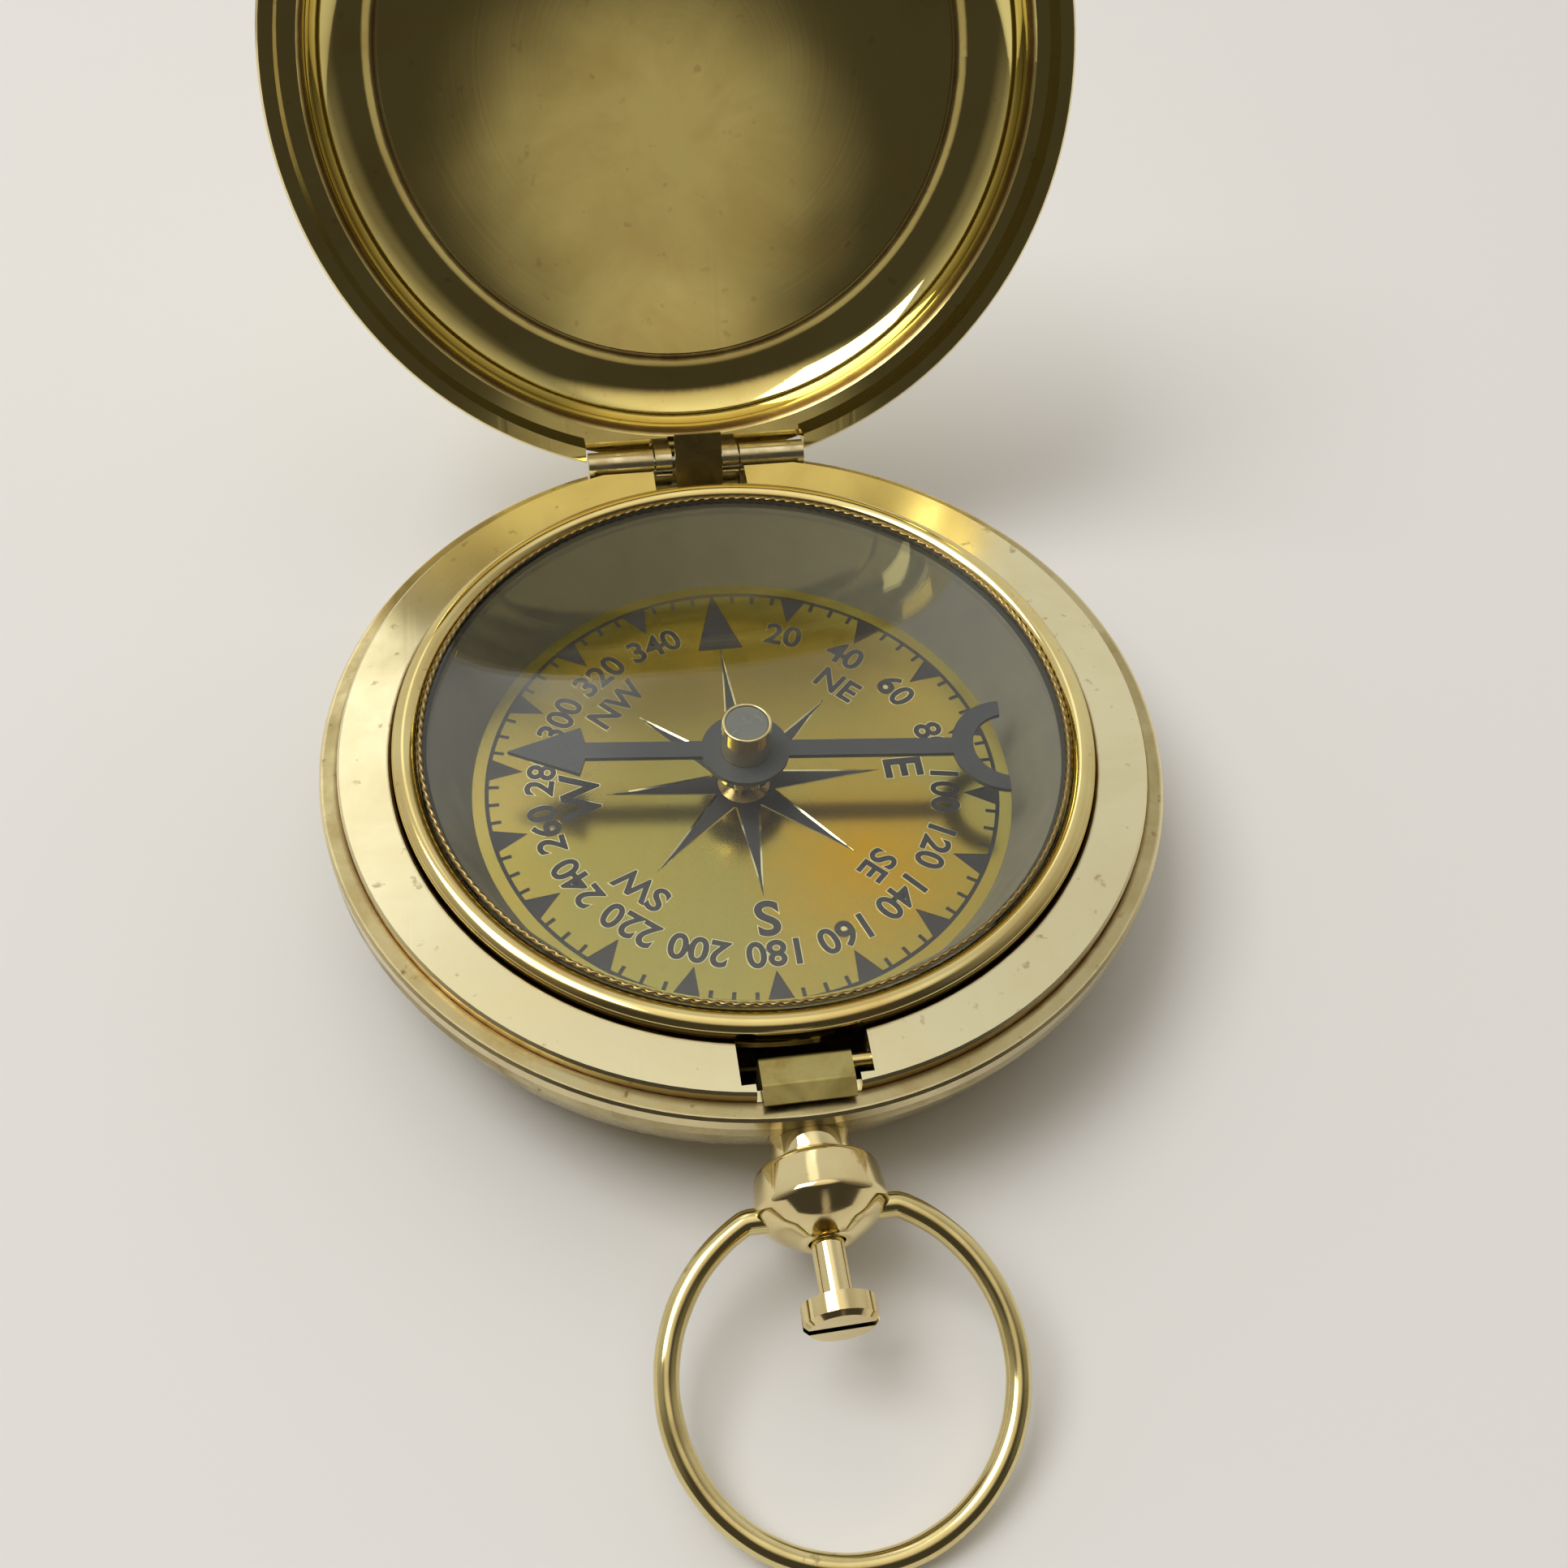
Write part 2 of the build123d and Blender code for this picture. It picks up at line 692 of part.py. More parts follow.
# Lid half of the hinge: two barrels on arms that reach up to the lid's shoulder
with BuildPart() as lid_knuckles_shut:
    with BuildSketch(Plane.YZ.offset(lid_knuckle_inner)):
        with Locations((hinge_y, hinge_z)):
            Circle(barrel_radius)
        with Locations((hinge_y - barrel_radius, hinge_z)):
            Rectangle(
                barrel_radius + lid_arm_back,
                lid_band_top - hinge_z,
                align=(Align.MIN, Align.MIN),
            )
        with Locations((hinge_y, hinge_z)):
            Circle(hinge_pin_radius + running_clearance, mode=Mode.SUBTRACT)
    extrude(amount=lid_knuckle_outer - lid_knuckle_inner)
    mirror(about=Plane.YZ)
lid_hinge_knuckles = lid_knuckles_shut.part.rotate(hinge_axis, -lid_open_angle)
lid_hinge_knuckles.label = "lid_hinge_knuckles"
export_step(lid_hinge_knuckles, "parts/lid_hinge_knuckles.step")

# Hinge pin through all four barrels
with BuildPart() as hinge_pin:
    with BuildSketch(Plane.YZ):
        with Locations((hinge_y, hinge_z)):
            Circle(hinge_pin_radius)
    extrude(amount=hinge_half_width, both=True)
hinge_pin.part.label = "hinge_pin"
export_step(hinge_pin.part, "parts/hinge_pin.step")

# Lid spring: a flat steel leaf rolled into an eye at its root
lean = radians(lid_spring_lean)
lid_spring_plane = Plane(
    origin=(0, lid_spring_root_radius, lid_spring_root_z), x_dir=(0, cos(lean), -sin(lean)), z_dir=(1, 0, 0)
)
with BuildPart() as lid_spring:
    lid_spring_eye = lid_spring_pin_radius + running_clearance
    with BuildSketch(lid_spring_plane.offset(-lid_spring_width / 2)):
        Circle(lid_spring_eye + lid_spring_thickness)
        Rectangle(lid_spring_thickness, lid_spring_length, align=(Align.CENTER, Align.MIN))
        Circle(lid_spring_eye, mode=Mode.SUBTRACT)
    extrude(amount=lid_spring_width)
lid_spring.part.label = "lid_spring"
export_step(lid_spring.part, "parts/lid_spring.step")

# Pin across the ring's slot that the lid spring's eye sits on
with BuildPart() as lid_spring_pin:
    with BuildSketch(Plane.YZ):
        with Locations((lid_spring_root_radius, lid_spring_root_z)):
            Circle(lid_spring_pin_radius)
    extrude(amount=spring_slot_half_width + lid_spring_pin_seat, both=True)
lid_spring_pin.part.label = "lid_spring_pin"
export_step(lid_spring_pin.part, "parts/lid_spring_pin.step")

# Crown collar, soldered into its seat in the case wall
with BuildPart() as crown_collar:
    with BuildSketch(Plane.XZ.offset(-collar_back)):
        with Locations((0, crown_z)):
            Circle(collar_radius)
            Circle(stem_bore_radius, mode=Mode.SUBTRACT)
    extrude(amount=collar_length)
crown_collar.part.label = "crown_collar"
export_step(crown_collar.part, "parts/crown_collar.step")

# Crown ball: a turned bead with a sloped shoulder, a nearly straight belt and a tapered nose.
# It is bored for the stem and, crosswise, for the bow's ends.
with BuildPart() as crown_ball:
    ball_plane = Plane(origin=(0, ball_y, crown_z), x_dir=(0, 1, 0), z_dir=(1, 0, 0))
    with BuildSketch(ball_plane):
        with BuildLine():
            Polyline(
                (-ball_nose_length, ball_nose_radius),
                (-ball_nose_length, 0),
                (ball_back, 0),
                (ball_back, ball_neck_radius),
                (ball_belt_length, ball_belt_radius),
                (0, ball_radius),
            )
            SagittaArc((-ball_nose_length, ball_nose_radius), (0, ball_radius), ball_nose_bulge)
        make_face()
    revolve(axis=crown_axis)
    with BuildSketch(Plane.XZ):
        with Locations((0, crown_z)):
            Circle(stem_bore_radius)
    extrude(amount=far, mode=Mode.SUBTRACT)
    with BuildSketch(ball_plane):
        Circle(bow_wire_radius + running_clearance)
    extrude(amount=far, both=True, mode=Mode.SUBTRACT)
crown_ball.part.label = "crown_ball"
export_step(crown_ball.part, "parts/crown_ball.step")

# Push button: a slotted screw whose stem runs through the crown into the catch
with BuildPart() as push_button:
    stem_end = -(catch_leg_back + running_clearance)
    with BuildSketch(Plane.XZ.offset(-stem_end)):
        with Locations((0, crown_z)):
            Circle(stem_radius)
    extrude(amount=stem_end - head_back)
    with BuildSketch(Plane.XZ.offset(-head_back)):
        with Locations((0, crown_z)):
            Circle(head_radius)
    extrude(amount=head_length)
    chamfer(push_button.edges().group_by(Axis.Y)[0], head_edge)
    with BuildSketch(Plane.XZ.offset(-(head_back - head_length + slot_depth))):
        with Locations((0, crown_z)):
            Rectangle(2 * head_radius, slot_width, rotation=slot_turn)
    extrude(amount=slot_depth, mode=Mode.SUBTRACT)
push_button.part.label = "push_button"
export_step(push_button.part, "parts/push_button.step")

# Catch: a block in the ring's notch with a sloped nose, and a leg that takes the push button
with BuildPart() as catch:
    with BuildSketch(Plane.YZ) as catch_outline:
        Polygon(
            (-catch_leg_back, catch_bottom),
            (-catch_leg_front, catch_bottom),
            (-catch_leg_front, ring_seat),
            (catch_front, ring_seat + (-catch_leg_front - catch_front)),
            (catch_front, nose_bottom),
            (nose_tip, nose_bottom),
            (nose_tip, nose_bottom + nose_tip_thickness),
            (nose_tip + nose_slope, catch_top),
            (-catch_back, catch_top),
            (-catch_back, ring_seat),
            (-catch_leg_back, ring_seat - (catch_back - catch_leg_back)),
            align=None,
        )
        fillet(catch_outline.vertices().group_by(Axis.Y)[-1], catch_edge)
    extrude(amount=catch_width / 2, both=True)
    with BuildSketch(Plane.XZ):
        with Locations((0, crown_z)):
            Circle(stem_radius + press_clearance)
    extrude(amount=far, mode=Mode.SUBTRACT)
    with BuildSketch(Plane.YZ.offset(catch_notch_width / 2 + guide_slot_depth - guide_pin_length)):
        with Locations((guide_pin_y, guide_pin_z)):
            Circle(guide_pin_radius + press_clearance)
    extrude(amount=guide_pin_length, mode=Mode.SUBTRACT)
catch.part.label = "catch"
export_step(catch.part, "parts/catch.step")

# Guide pin in the catch, whose free end runs in the ring's blind slot
with BuildPart() as catch_guide_pin:
    with BuildSketch(Plane.YZ.offset(catch_notch_width / 2 + guide_slot_depth - guide_pin_length)):
        with Locations((guide_pin_y, guide_pin_z)):
            Circle(guide_pin_radius)
    extrude(amount=guide_pin_length - 2 * running_clearance)
catch_guide_pin.part.label = "catch_guide_pin"
export_step(catch_guide_pin.part, "parts/catch_guide_pin.step")

# Catch spring: a leaf with an eye on a post under the ring and a bead behind the catch's leg
spring_eye_radius = catch_spring_post_radius + running_clearance
spring_bottom = crown_z - catch_spring_width / 2
bead_y = -(catch_leg_back - seat_gap - catch_spring_bead)
with BuildPart() as catch_spring:
    with BuildSketch(Plane.XY.offset(spring_bottom)):
        leaf_start = (-catch_spring_post_x, -catch_spring_post_y - spring_eye_radius)
        leaf_end = (catch_spring_tip_x, bead_y)
        with Locations((-catch_spring_post_x, -catch_spring_post_y)):
            Circle(spring_eye_radius + catch_spring_eye_wall)
        Polygon(
            leaf_start,
            leaf_end,
            (leaf_end[0], leaf_end[1] + catch_spring_thickness),
            (leaf_start[0], leaf_start[1] + catch_spring_thickness),
            align=None,
        )
        with Locations(leaf_end):
            Circle(catch_spring_bead)
        with Locations((-catch_spring_post_x, -catch_spring_post_y)):
            Circle(spring_eye_radius, mode=Mode.SUBTRACT)
    extrude(amount=catch_spring_width)
catch_spring.part.label = "catch_spring"
export_step(catch_spring.part, "parts/catch_spring.step")

# Headed post under the ring that the catch spring's eye turns on
with BuildPart() as catch_spring_post:
    head_top = spring_bottom - running_clearance
    with BuildSketch(Plane.XY.offset(head_top)):
        with Locations((-catch_spring_post_x, -catch_spring_post_y)):
            Circle(catch_spring_post_radius)
    extrude(amount=ring_seat - head_top)
    with BuildSketch(Plane.XY.offset(head_top - catch_spring_head)):
        with Locations((-catch_spring_post_x, -catch_spring_post_y)):
            Circle(catch_spring_post_radius + catch_spring_eye_wall)
    extrude(amount=catch_spring_head)
catch_spring_post.part.label = "catch_spring_post"
export_step(catch_spring_post.part, "parts/catch_spring_post.step")

# Bow: one length of round wire bent to a ring, its two ends turned in along the ball's cross bore.
# It droops until the far side of the ring lies just over the surface that the base stands on.
bow_centre = bow_bend_radius + sqrt((bow_radius - bow_bend_radius) ** 2 - bow_pin_outer**2)
droop = asin((crown_z - bow_wire_radius - bow_floor_gap) / (bow_centre + bow_radius))
bow_plane = Plane(origin=(0, ball_y, crown_z), x_dir=(1, 0, 0), z_dir=(0, sin(droop), -cos(droop)))
bow_bend = degrees(asin(bow_pin_outer / (bow_radius - bow_bend_radius)))
with BuildPart() as bow:
    with BuildLine(bow_plane) as bow_path:
        first_pin = Line((bow_pin_inner, 0), (bow_pin_outer, 0))
        first_bend = JernArc(first_pin @ 1, first_pin % 1, bow_bend_radius, bow_bend)
        ring_arc = JernArc(first_bend @ 1, first_bend % 1, bow_radius, 360 - 2 * bow_bend)
        second_bend = JernArc(ring_arc @ 1, ring_arc % 1, bow_bend_radius, bow_bend)
        Line((-bow_pin_outer, 0), (-bow_pin_inner, 0))
    with BuildSketch(Plane(origin=bow_path.line @ 0, z_dir=bow_path.line % 0)):
        Circle(bow_wire_radius)
    sweep(path=bow_path.line)
bow.part.label = "bow"
export_step(bow.part, "parts/bow.step")
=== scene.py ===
# %% [markdown]
# # A brass pocket compass, dressed for the camera
# The solids of the compass come from a CAD model that is loaded as a fixed frame.
# This lesson gives them their finish: aged brass, satin brass, blued steel, enamel, painted metal and glass.
# It also adds what a turner or an engraver would add: rounded edges, a twisted wire
# and the figures of the dial.

# %% Load the solids
import math
import bmesh
import bpy
import numpy as np
from mathutils import Matrix, Vector


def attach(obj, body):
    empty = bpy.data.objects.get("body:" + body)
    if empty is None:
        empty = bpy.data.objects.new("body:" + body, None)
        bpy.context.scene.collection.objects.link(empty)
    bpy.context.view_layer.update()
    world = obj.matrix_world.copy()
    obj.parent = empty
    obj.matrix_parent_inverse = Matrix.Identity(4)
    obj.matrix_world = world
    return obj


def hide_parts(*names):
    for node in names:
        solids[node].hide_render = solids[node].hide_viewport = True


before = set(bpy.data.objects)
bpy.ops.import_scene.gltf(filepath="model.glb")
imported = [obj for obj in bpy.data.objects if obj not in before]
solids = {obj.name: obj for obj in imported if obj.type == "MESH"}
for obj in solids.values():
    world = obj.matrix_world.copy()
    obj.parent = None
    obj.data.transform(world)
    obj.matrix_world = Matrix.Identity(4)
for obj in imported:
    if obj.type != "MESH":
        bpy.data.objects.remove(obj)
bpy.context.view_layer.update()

MM = 0.001

# %% [markdown]
# ## The camera
# The picture was taken from the front, a little to the left and well above, with the camera tipped slightly.
# A camera could be aimed by a constraint, but the tip would be lost, so its three axes
# are written out instead.

# %% Camera
PHOTO_PIXELS = 1932
FOCAL_PIXELS = 2200.0
SENSOR_WIDTH = 36.0
CAMERA_AZIMUTH, CAMERA_ELEVATION, CAMERA_ROLL = np.radians([-12.398, 52.593, 4.589])
CAMERA_DISTANCE = 104.833
CAMERA_TARGET = Vector((1.776, -3.465, 9.0))


def aim_camera():
    """Camera axes from two angles: back points from the target to the lens, right lies level,
    and up closes the set. The roll then turns right and up about back."""
    level = math.cos(CAMERA_ELEVATION)
    back = Vector((math.sin(CAMERA_AZIMUTH) * level, -math.cos(CAMERA_AZIMUTH) * level,
                   math.sin(CAMERA_ELEVATION)))
    right = Vector((math.cos(CAMERA_AZIMUTH), math.sin(CAMERA_AZIMUTH), 0))
    up = back.cross(right)
    cos_roll, sin_roll = math.cos(CAMERA_ROLL), math.sin(CAMERA_ROLL)
    right, up = cos_roll * right + sin_roll * up, cos_roll * up - sin_roll * right
    place = (CAMERA_TARGET + back * CAMERA_DISTANCE) * MM
    return Matrix((right, up, back)).transposed().to_4x4(), place


lens = bpy.data.cameras.new("compass_camera")
lens.sensor_width = SENSOR_WIDTH
lens.lens = SENSOR_WIDTH * FOCAL_PIXELS / PHOTO_PIXELS
lens.clip_start = MM
camera = bpy.data.objects.new("compass_camera", lens)
turn, place = aim_camera()
camera.matrix_world = Matrix.Translation(place) @ turn
bpy.context.scene.collection.objects.link(camera)
bpy.context.scene.camera = camera
bpy.context.scene.view_settings.view_transform = "Standard"
print("lens", round(lens.lens, 2), "mm, camera at", [round(v / MM, 1) for v in camera.location])

# %% [markdown]
# ## Nodes in short words
# Every finish below is a small network of shader nodes.
# Small helpers keep the networks readable: one adds a node and fills its sockets by name,
# one joins two sockets, and the others make the few nodes that come up again and again.

# %% Node helpers
def add_node(tree, kind, **settings):
    """One shader node. A setting named like an input fills that socket, with _ for a space.
    Other settings set the node's properties."""
    node = tree.nodes.new("ShaderNode" + kind)
    for key, value in settings.items():
        if not hasattr(node, key):
            node.inputs[key.replace("_", " ")].default_value = value
        else:
            setattr(node, key, value)
    return node


def join(tree, source, target, output=0, socket=0):
    """Joins an output of one node to a socket of another. Both are given by name or by number."""
    tree.links.new(source.outputs[output], target.inputs[socket])


def new_group(name, inputs, outputs):
    """An empty shader node group with float, vector or colour sockets."""
    group = bpy.data.node_groups.new(name, "ShaderNodeTree")
    for socket, (kind, value) in inputs.items():
        made = group.interface.new_socket(socket, in_out="INPUT", socket_type="NodeSocket" + kind)
        if value is not None:
            made.default_value = value
    for socket, kind in outputs.items():
        group.interface.new_socket(socket, in_out="OUTPUT", socket_type="NodeSocket" + kind)
    return group, group.nodes.new("NodeGroupInput"), group.nodes.new("NodeGroupOutput")


def place_group(tree, group, **values):
    """One copy of a node group in a material, with its own values."""
    node = tree.nodes.new("ShaderNodeGroup")
    node.node_tree = group
    for key, value in values.items():
        node.inputs[key.replace("_", " ")].default_value = value
    return node


def to_range(tree, source, low, high, start=0.0, end=1.0, output=0):
    """A Map Range node: what lies between low and high becomes start to end, clamped."""
    node = add_node(tree, "MapRange", From_Min=low, From_Max=high, To_Min=start, To_Max=end)
    join(tree, source, node, output, "Value")
    return node


def axis_distance(tree, source, output):
    """A node whose Value is the distance from the Z axis: the vector's length with its height left out."""
    flat = add_node(tree, "VectorMath", operation="MULTIPLY")
    flat.inputs[1].default_value = (1, 1, 0)
    reach = add_node(tree, "VectorMath", operation="LENGTH")
    join(tree, source, flat, output)
    join(tree, flat, reach)
    return reach


# %% [markdown]
# ## Floor and light
# A plain pale floor and soft light suit polished metal, because brass shows mostly what is around it.
# A soft lamp stands high on the left. The sky fades from pale behind to dim in front.
# Round glows stand in for windows: two behind, where the flat ring and the crown look,
# and two where the open lid looks.

# %% Floor
FLOOR_HALF_WIDTH = 1.6


def soft_floor(half):
    """A flat grid of one face, wide enough to fill the view and the mirror images in the metal."""
    mesh = bpy.data.meshes.new("studio_floor")
    corners = np.array([(-half, -half, 0), (half, -half, 0), (half, half, 0), (-half, half, 0)])
    mesh.from_pydata(corners.tolist(), [], [(0, 1, 2, 3)])
    floor = bpy.data.objects.new("studio_floor", mesh)
    bpy.context.scene.collection.objects.link(floor)
    paint = bpy.data.materials.new("pale_floor_paint")
    paint.use_nodes = True
    board = paint.node_tree.nodes["Principled BSDF"]
    board.inputs["Base Color"].default_value = (0.86, 0.85, 0.83, 1)
    board.inputs["Roughness"].default_value = 0.8
    mesh.materials.append(paint)
    return floor


floor = soft_floor(FLOOR_HALF_WIDTH)
print("floor", floor.dimensions[:])


# %% Lamps
def direction(azimuth, elevation):
    """Unit vector from the dial to a place in the room.
    Azimuth is measured from +Y towards +X, in degrees."""
    a, e = math.radians(azimuth), math.radians(elevation)
    return Vector((math.sin(a) * math.cos(e), math.cos(a) * math.cos(e), math.sin(e)))


def soft_lamp(name, azimuth, elevation, distance, width, height, radiance):
    """An area lamp that looks at the dial. Its power is radiance times pi times its area,
    so radiance is what a mirror would show."""
    towards = direction(azimuth, elevation)
    data = bpy.data.lights.new(name, "AREA")
    data.shape = "RECTANGLE"
    data.size, data.size_y = width, height
    data.energy = radiance * math.pi * width * height
    lamp = bpy.data.objects.new(name, data)
    lamp.location = towards * distance
    lamp.rotation_euler = towards.to_track_quat("Z", "Y").to_euler()
    bpy.context.scene.collection.objects.link(lamp)
    return lamp


side_lamp = soft_lamp("side_lamp", azimuth=-75, elevation=62, distance=0.9, width=0.5, height=0.5,
                      radiance=4.6)
print("lamp:", side_lamp.name, round(side_lamp.data.energy, 2), "W")


# %% Sky
DIM_UP_TO, PALE_FROM = -0.3, 0.6
DIM_STRENGTH, PALE_STRENGTH = 0.06, 0.72


def pale_sky(glows):
    """Sky whose strength follows the direction: dim in front, pale behind, plus round glows.
    A glow is full inside its first angle and gone outside its second.
    The camera itself sees a plain pale wall."""
    sky = bpy.data.worlds.new("pale_sky")
    sky.use_nodes = True
    tree = sky.node_tree
    back = tree.nodes["Background"]
    where = add_node(tree, "TexCoord")
    parts = add_node(tree, "SeparateXYZ")
    join(tree, where, parts, "Generated")
    depth = to_range(tree, parts, DIM_UP_TO, PALE_FROM, output="Y")
    tint = add_node(tree, "ValToRGB")
    tint.color_ramp.elements[0].color = (1.0, 0.9, 0.74, 1)
    tint.color_ramp.elements[1].color = (1.0, 0.985, 0.955, 1)
    join(tree, depth, tint, 0, "Fac")
    join(tree, tint, back, "Color", "Color")
    total = to_range(tree, parts, DIM_UP_TO, PALE_FROM, DIM_STRENGTH, PALE_STRENGTH, output="Y")
    for azimuth, elevation, full, gone, strength in glows:
        facing = add_node(tree, "VectorMath", operation="DOT_PRODUCT")
        facing.inputs[1].default_value = direction(azimuth, elevation)
        join(tree, where, facing, "Generated", 0)
        near, far = math.cos(math.radians(full)), math.cos(math.radians(gone))
        share = to_range(tree, facing, far, near, 0, strength, "Value")
        share.interpolation_type = "SMOOTHERSTEP"
        both = add_node(tree, "Math", operation="ADD")
        join(tree, total, both, 0, 0)
        join(tree, share, both, 0, 1)
        total = both
    join(tree, total, back, 0, "Strength")
    path = add_node(tree, "LightPath")
    plain = add_node(tree, "Background", Color=(0.8, 0.79, 0.765, 1), Strength=1.0)
    choice = add_node(tree, "MixShader")
    join(tree, path, choice, "Is Camera Ray", 0)
    join(tree, back, choice, 0, 1)
    join(tree, plain, choice, 0, 2)
    join(tree, choice, tree.nodes["World Output"], 0, "Surface")
    bpy.context.scene.world = sky


# Each glow: azimuth, elevation, angle where it is full, angle where it is gone, strength
windows = [(-14, 50, 3, 10, 0.65), (-4, 42, 3, 8, 0.8), (175, 5, 1, 7, 0.38), (175, 14, 1, 7, 0.38)]
walls_and_ceiling = [(0, 90, 8, 34, 0.75), (95, 25, 8, 40, 0.14), (-95, 25, 8, 40, 0.14)]
pale_sky(windows + walls_and_ceiling)
print("sky:", bpy.context.scene.world.name)

# %% [markdown]
# ## Effects that several finishes share
# Bands round the axis carry painted highlights at rim edges and painted shade in gaps and grooves.
# Turned brass has fine rings round its axis, handled brass has hair scratches,
# and old brass has patches of tarnish.
# Each is a node group, so that every piece can use it with its own strength.

# %% Node group: rings left by the lathe
def make_lathe_rings():
    """Height of lathe rings: noise read along the distance from the Z axis, so it is the same all round."""
    group, given, result = new_group(
        "lathe_rings", {"Vector": ("Vector", None), "Rings per metre": ("Float", 6000.0)}, {"Height": "Float"}
    )
    reach = axis_distance(group, given, "Vector")
    parts = add_node(group, "SeparateXYZ")
    both = add_node(group, "Math", operation="ADD")
    scaled = add_node(group, "Math", operation="MULTIPLY")
    rings = add_node(group, "TexNoise", noise_dimensions="1D", Scale=1.0, Detail=3.0, Roughness=0.65)
    join(group, given, parts, "Vector")
    join(group, reach, both, "Value", 0)
    join(group, parts, both, "Z", 1)
    join(group, both, scaled, 0, 0)
    join(group, given, scaled, "Rings per metre", 1)
    join(group, scaled, rings, 0, "W")
    join(group, rings, result, 0, "Height")
    return group


# %% Node group: hair scratches
def make_hair_scratches():
    """Mask of hair scratches: noise stretched thirty times along three directions, cut off near its top."""
    group, given, result = new_group(
        "hair_scratches", {"Vector": ("Vector", None), "Scale": ("Float", 900.0)}, {"Mask": "Float"}
    )
    last = None
    for angle, stretch in ((0.3, 0.03), (1.25, 0.045), (2.4, 0.025)):
        turned = add_node(group, "Mapping", Rotation=(0.2, 0.1, angle), Scale=(1.0, stretch, 0.6))
        hairs = add_node(group, "TexNoise", Detail=2.0, Roughness=0.6)
        join(group, given, turned, "Vector", "Vector")
        join(group, turned, hairs, 0, "Vector")
        join(group, given, hairs, "Scale", "Scale")
        cut = to_range(group, hairs, 0.66, 0.74)
        if last:
            most = add_node(group, "Math", operation="MAXIMUM")
            join(group, last, most, 0, 0)
            join(group, cut, most, 0, 1)
            cut = most
        last = cut
    join(group, last, result, 0, "Mask")
    return group


# %% Node group: tarnish
def make_tarnish():
    """Colour of aged brass: clean brass turns olive in broad clouds and brown in small spots.
    Dullness is how far a place has gone, from 0 to 1."""
    group, given, result = new_group(
        "brass_tarnish",
        {
            "Vector": ("Vector", None),
            "Clean": ("Color", (0.83, 0.69, 0.35, 1)),
            "Olive": ("Color", (0.5, 0.4, 0.15, 1)),
            "Spots": ("Color", (0.2, 0.11, 0.04, 1)),
            "Cloud scale": ("Float", 120.0),
            "Spot scale": ("Float", 900.0),
            "Clouds": ("Float", 0.5),
            "Spotting": ("Float", 0.5),
        },
        {"Color": "Color", "Dullness": "Float"},
    )
    clouds = add_node(group, "TexNoise", Detail=5.0, Roughness=0.6, Distortion=0.4)
    spots = add_node(group, "TexNoise", Detail=3.0, Roughness=0.55)
    join(group, given, clouds, "Vector", "Vector")
    join(group, given, clouds, "Cloud scale", "Scale")
    join(group, given, spots, "Vector", "Vector")
    join(group, given, spots, "Spot scale", "Scale")
    cloud_mask = to_range(group, clouds, 0.4, 0.68)
    spot_mask = to_range(group, spots, 0.66, 0.74)
    cloud_share = add_node(group, "Math", operation="MULTIPLY")
    spot_share = add_node(group, "Math", operation="MULTIPLY")
    join(group, cloud_mask, cloud_share, 0, 0)
    join(group, given, cloud_share, "Clouds", 1)
    join(group, spot_mask, spot_share, 0, 0)
    join(group, given, spot_share, "Spotting", 1)
    olive = add_node(group, "MixRGB")
    brown = add_node(group, "MixRGB")
    join(group, cloud_share, olive, 0, "Fac")
    join(group, given, olive, "Clean", "Color1")
    join(group, given, olive, "Olive", "Color2")
    join(group, spot_share, brown, 0, "Fac")
    join(group, olive, brown, 0, "Color1")
    join(group, given, brown, "Spots", "Color2")
    dull = add_node(group, "Math", operation="MAXIMUM")
    join(group, cloud_share, dull, 0, 0)
    join(group, spot_share, dull, 0, 1)
    join(group, brown, result, 0, "Color")
    join(group, dull, result, 0, "Dullness")
    return group


# %% Node group: painted highlight and painted shade at one circle of a turned piece
BAND_HALF_HEIGHT = 0.9 * MM


def make_circle_band():
    """Mask of a band round the Z axis: full at one radius, fading over a width, broken up by noise.
    It stays within 0.9 mm of one height. A painted highlight along a rim edge and painted shade in gaps and
    grooves are both such bands."""
    group, given, result = new_group(
        "circle_band",
        {
            "Vector": ("Vector", None),
            "Radius": ("Float", 0.025),
            "Height": ("Float", 0.009),
            "Width": ("Float", 0.0003),
            "Broken": ("Float", 0.5),
        },
        {"Mask": "Float"},
    )
    reach = axis_distance(group, given, "Vector")
    off = add_node(group, "Math", operation="SUBTRACT")
    size = add_node(group, "Math", operation="ABSOLUTE")
    share = add_node(group, "Math", operation="DIVIDE")
    patches = add_node(group, "TexNoise", Scale=420.0, Detail=4.0, Roughness=0.65)
    shift = add_node(group, "Math", operation="MULTIPLY")
    worn = add_node(group, "Math", operation="ADD")
    join(group, reach, off, "Value", 0)
    join(group, given, off, "Radius", 1)
    join(group, off, size)
    join(group, size, share, 0, 0)
    join(group, given, share, "Width", 1)
    join(group, given, patches, "Vector", "Vector")
    join(group, patches, shift, 0, 0)
    join(group, given, shift, "Broken", 1)
    join(group, share, worn, 0, 0)
    join(group, shift, worn, 0, 1)
    band = to_range(group, worn, 0.3, 1.0, 1.0, 0.0)
    parts = add_node(group, "SeparateXYZ")
    level = add_node(group, "Math", operation="COMPARE")
    level.inputs[2].default_value = BAND_HALF_HEIGHT
    mask = add_node(group, "Math", operation="MULTIPLY")
    join(group, given, parts, "Vector")
    join(group, parts, level, "Z", 0)
    join(group, given, level, "Height", 1)
    join(group, band, mask, 0, 0)
    join(group, level, mask, 0, 1)
    join(group, mask, result, 0, "Mask")
    return group


lathe_rings = make_lathe_rings()
hair_scratches = make_hair_scratches()
brass_tarnish = make_tarnish()
circle_band = make_circle_band()
print("groups:", [group.name for group in bpy.data.node_groups])

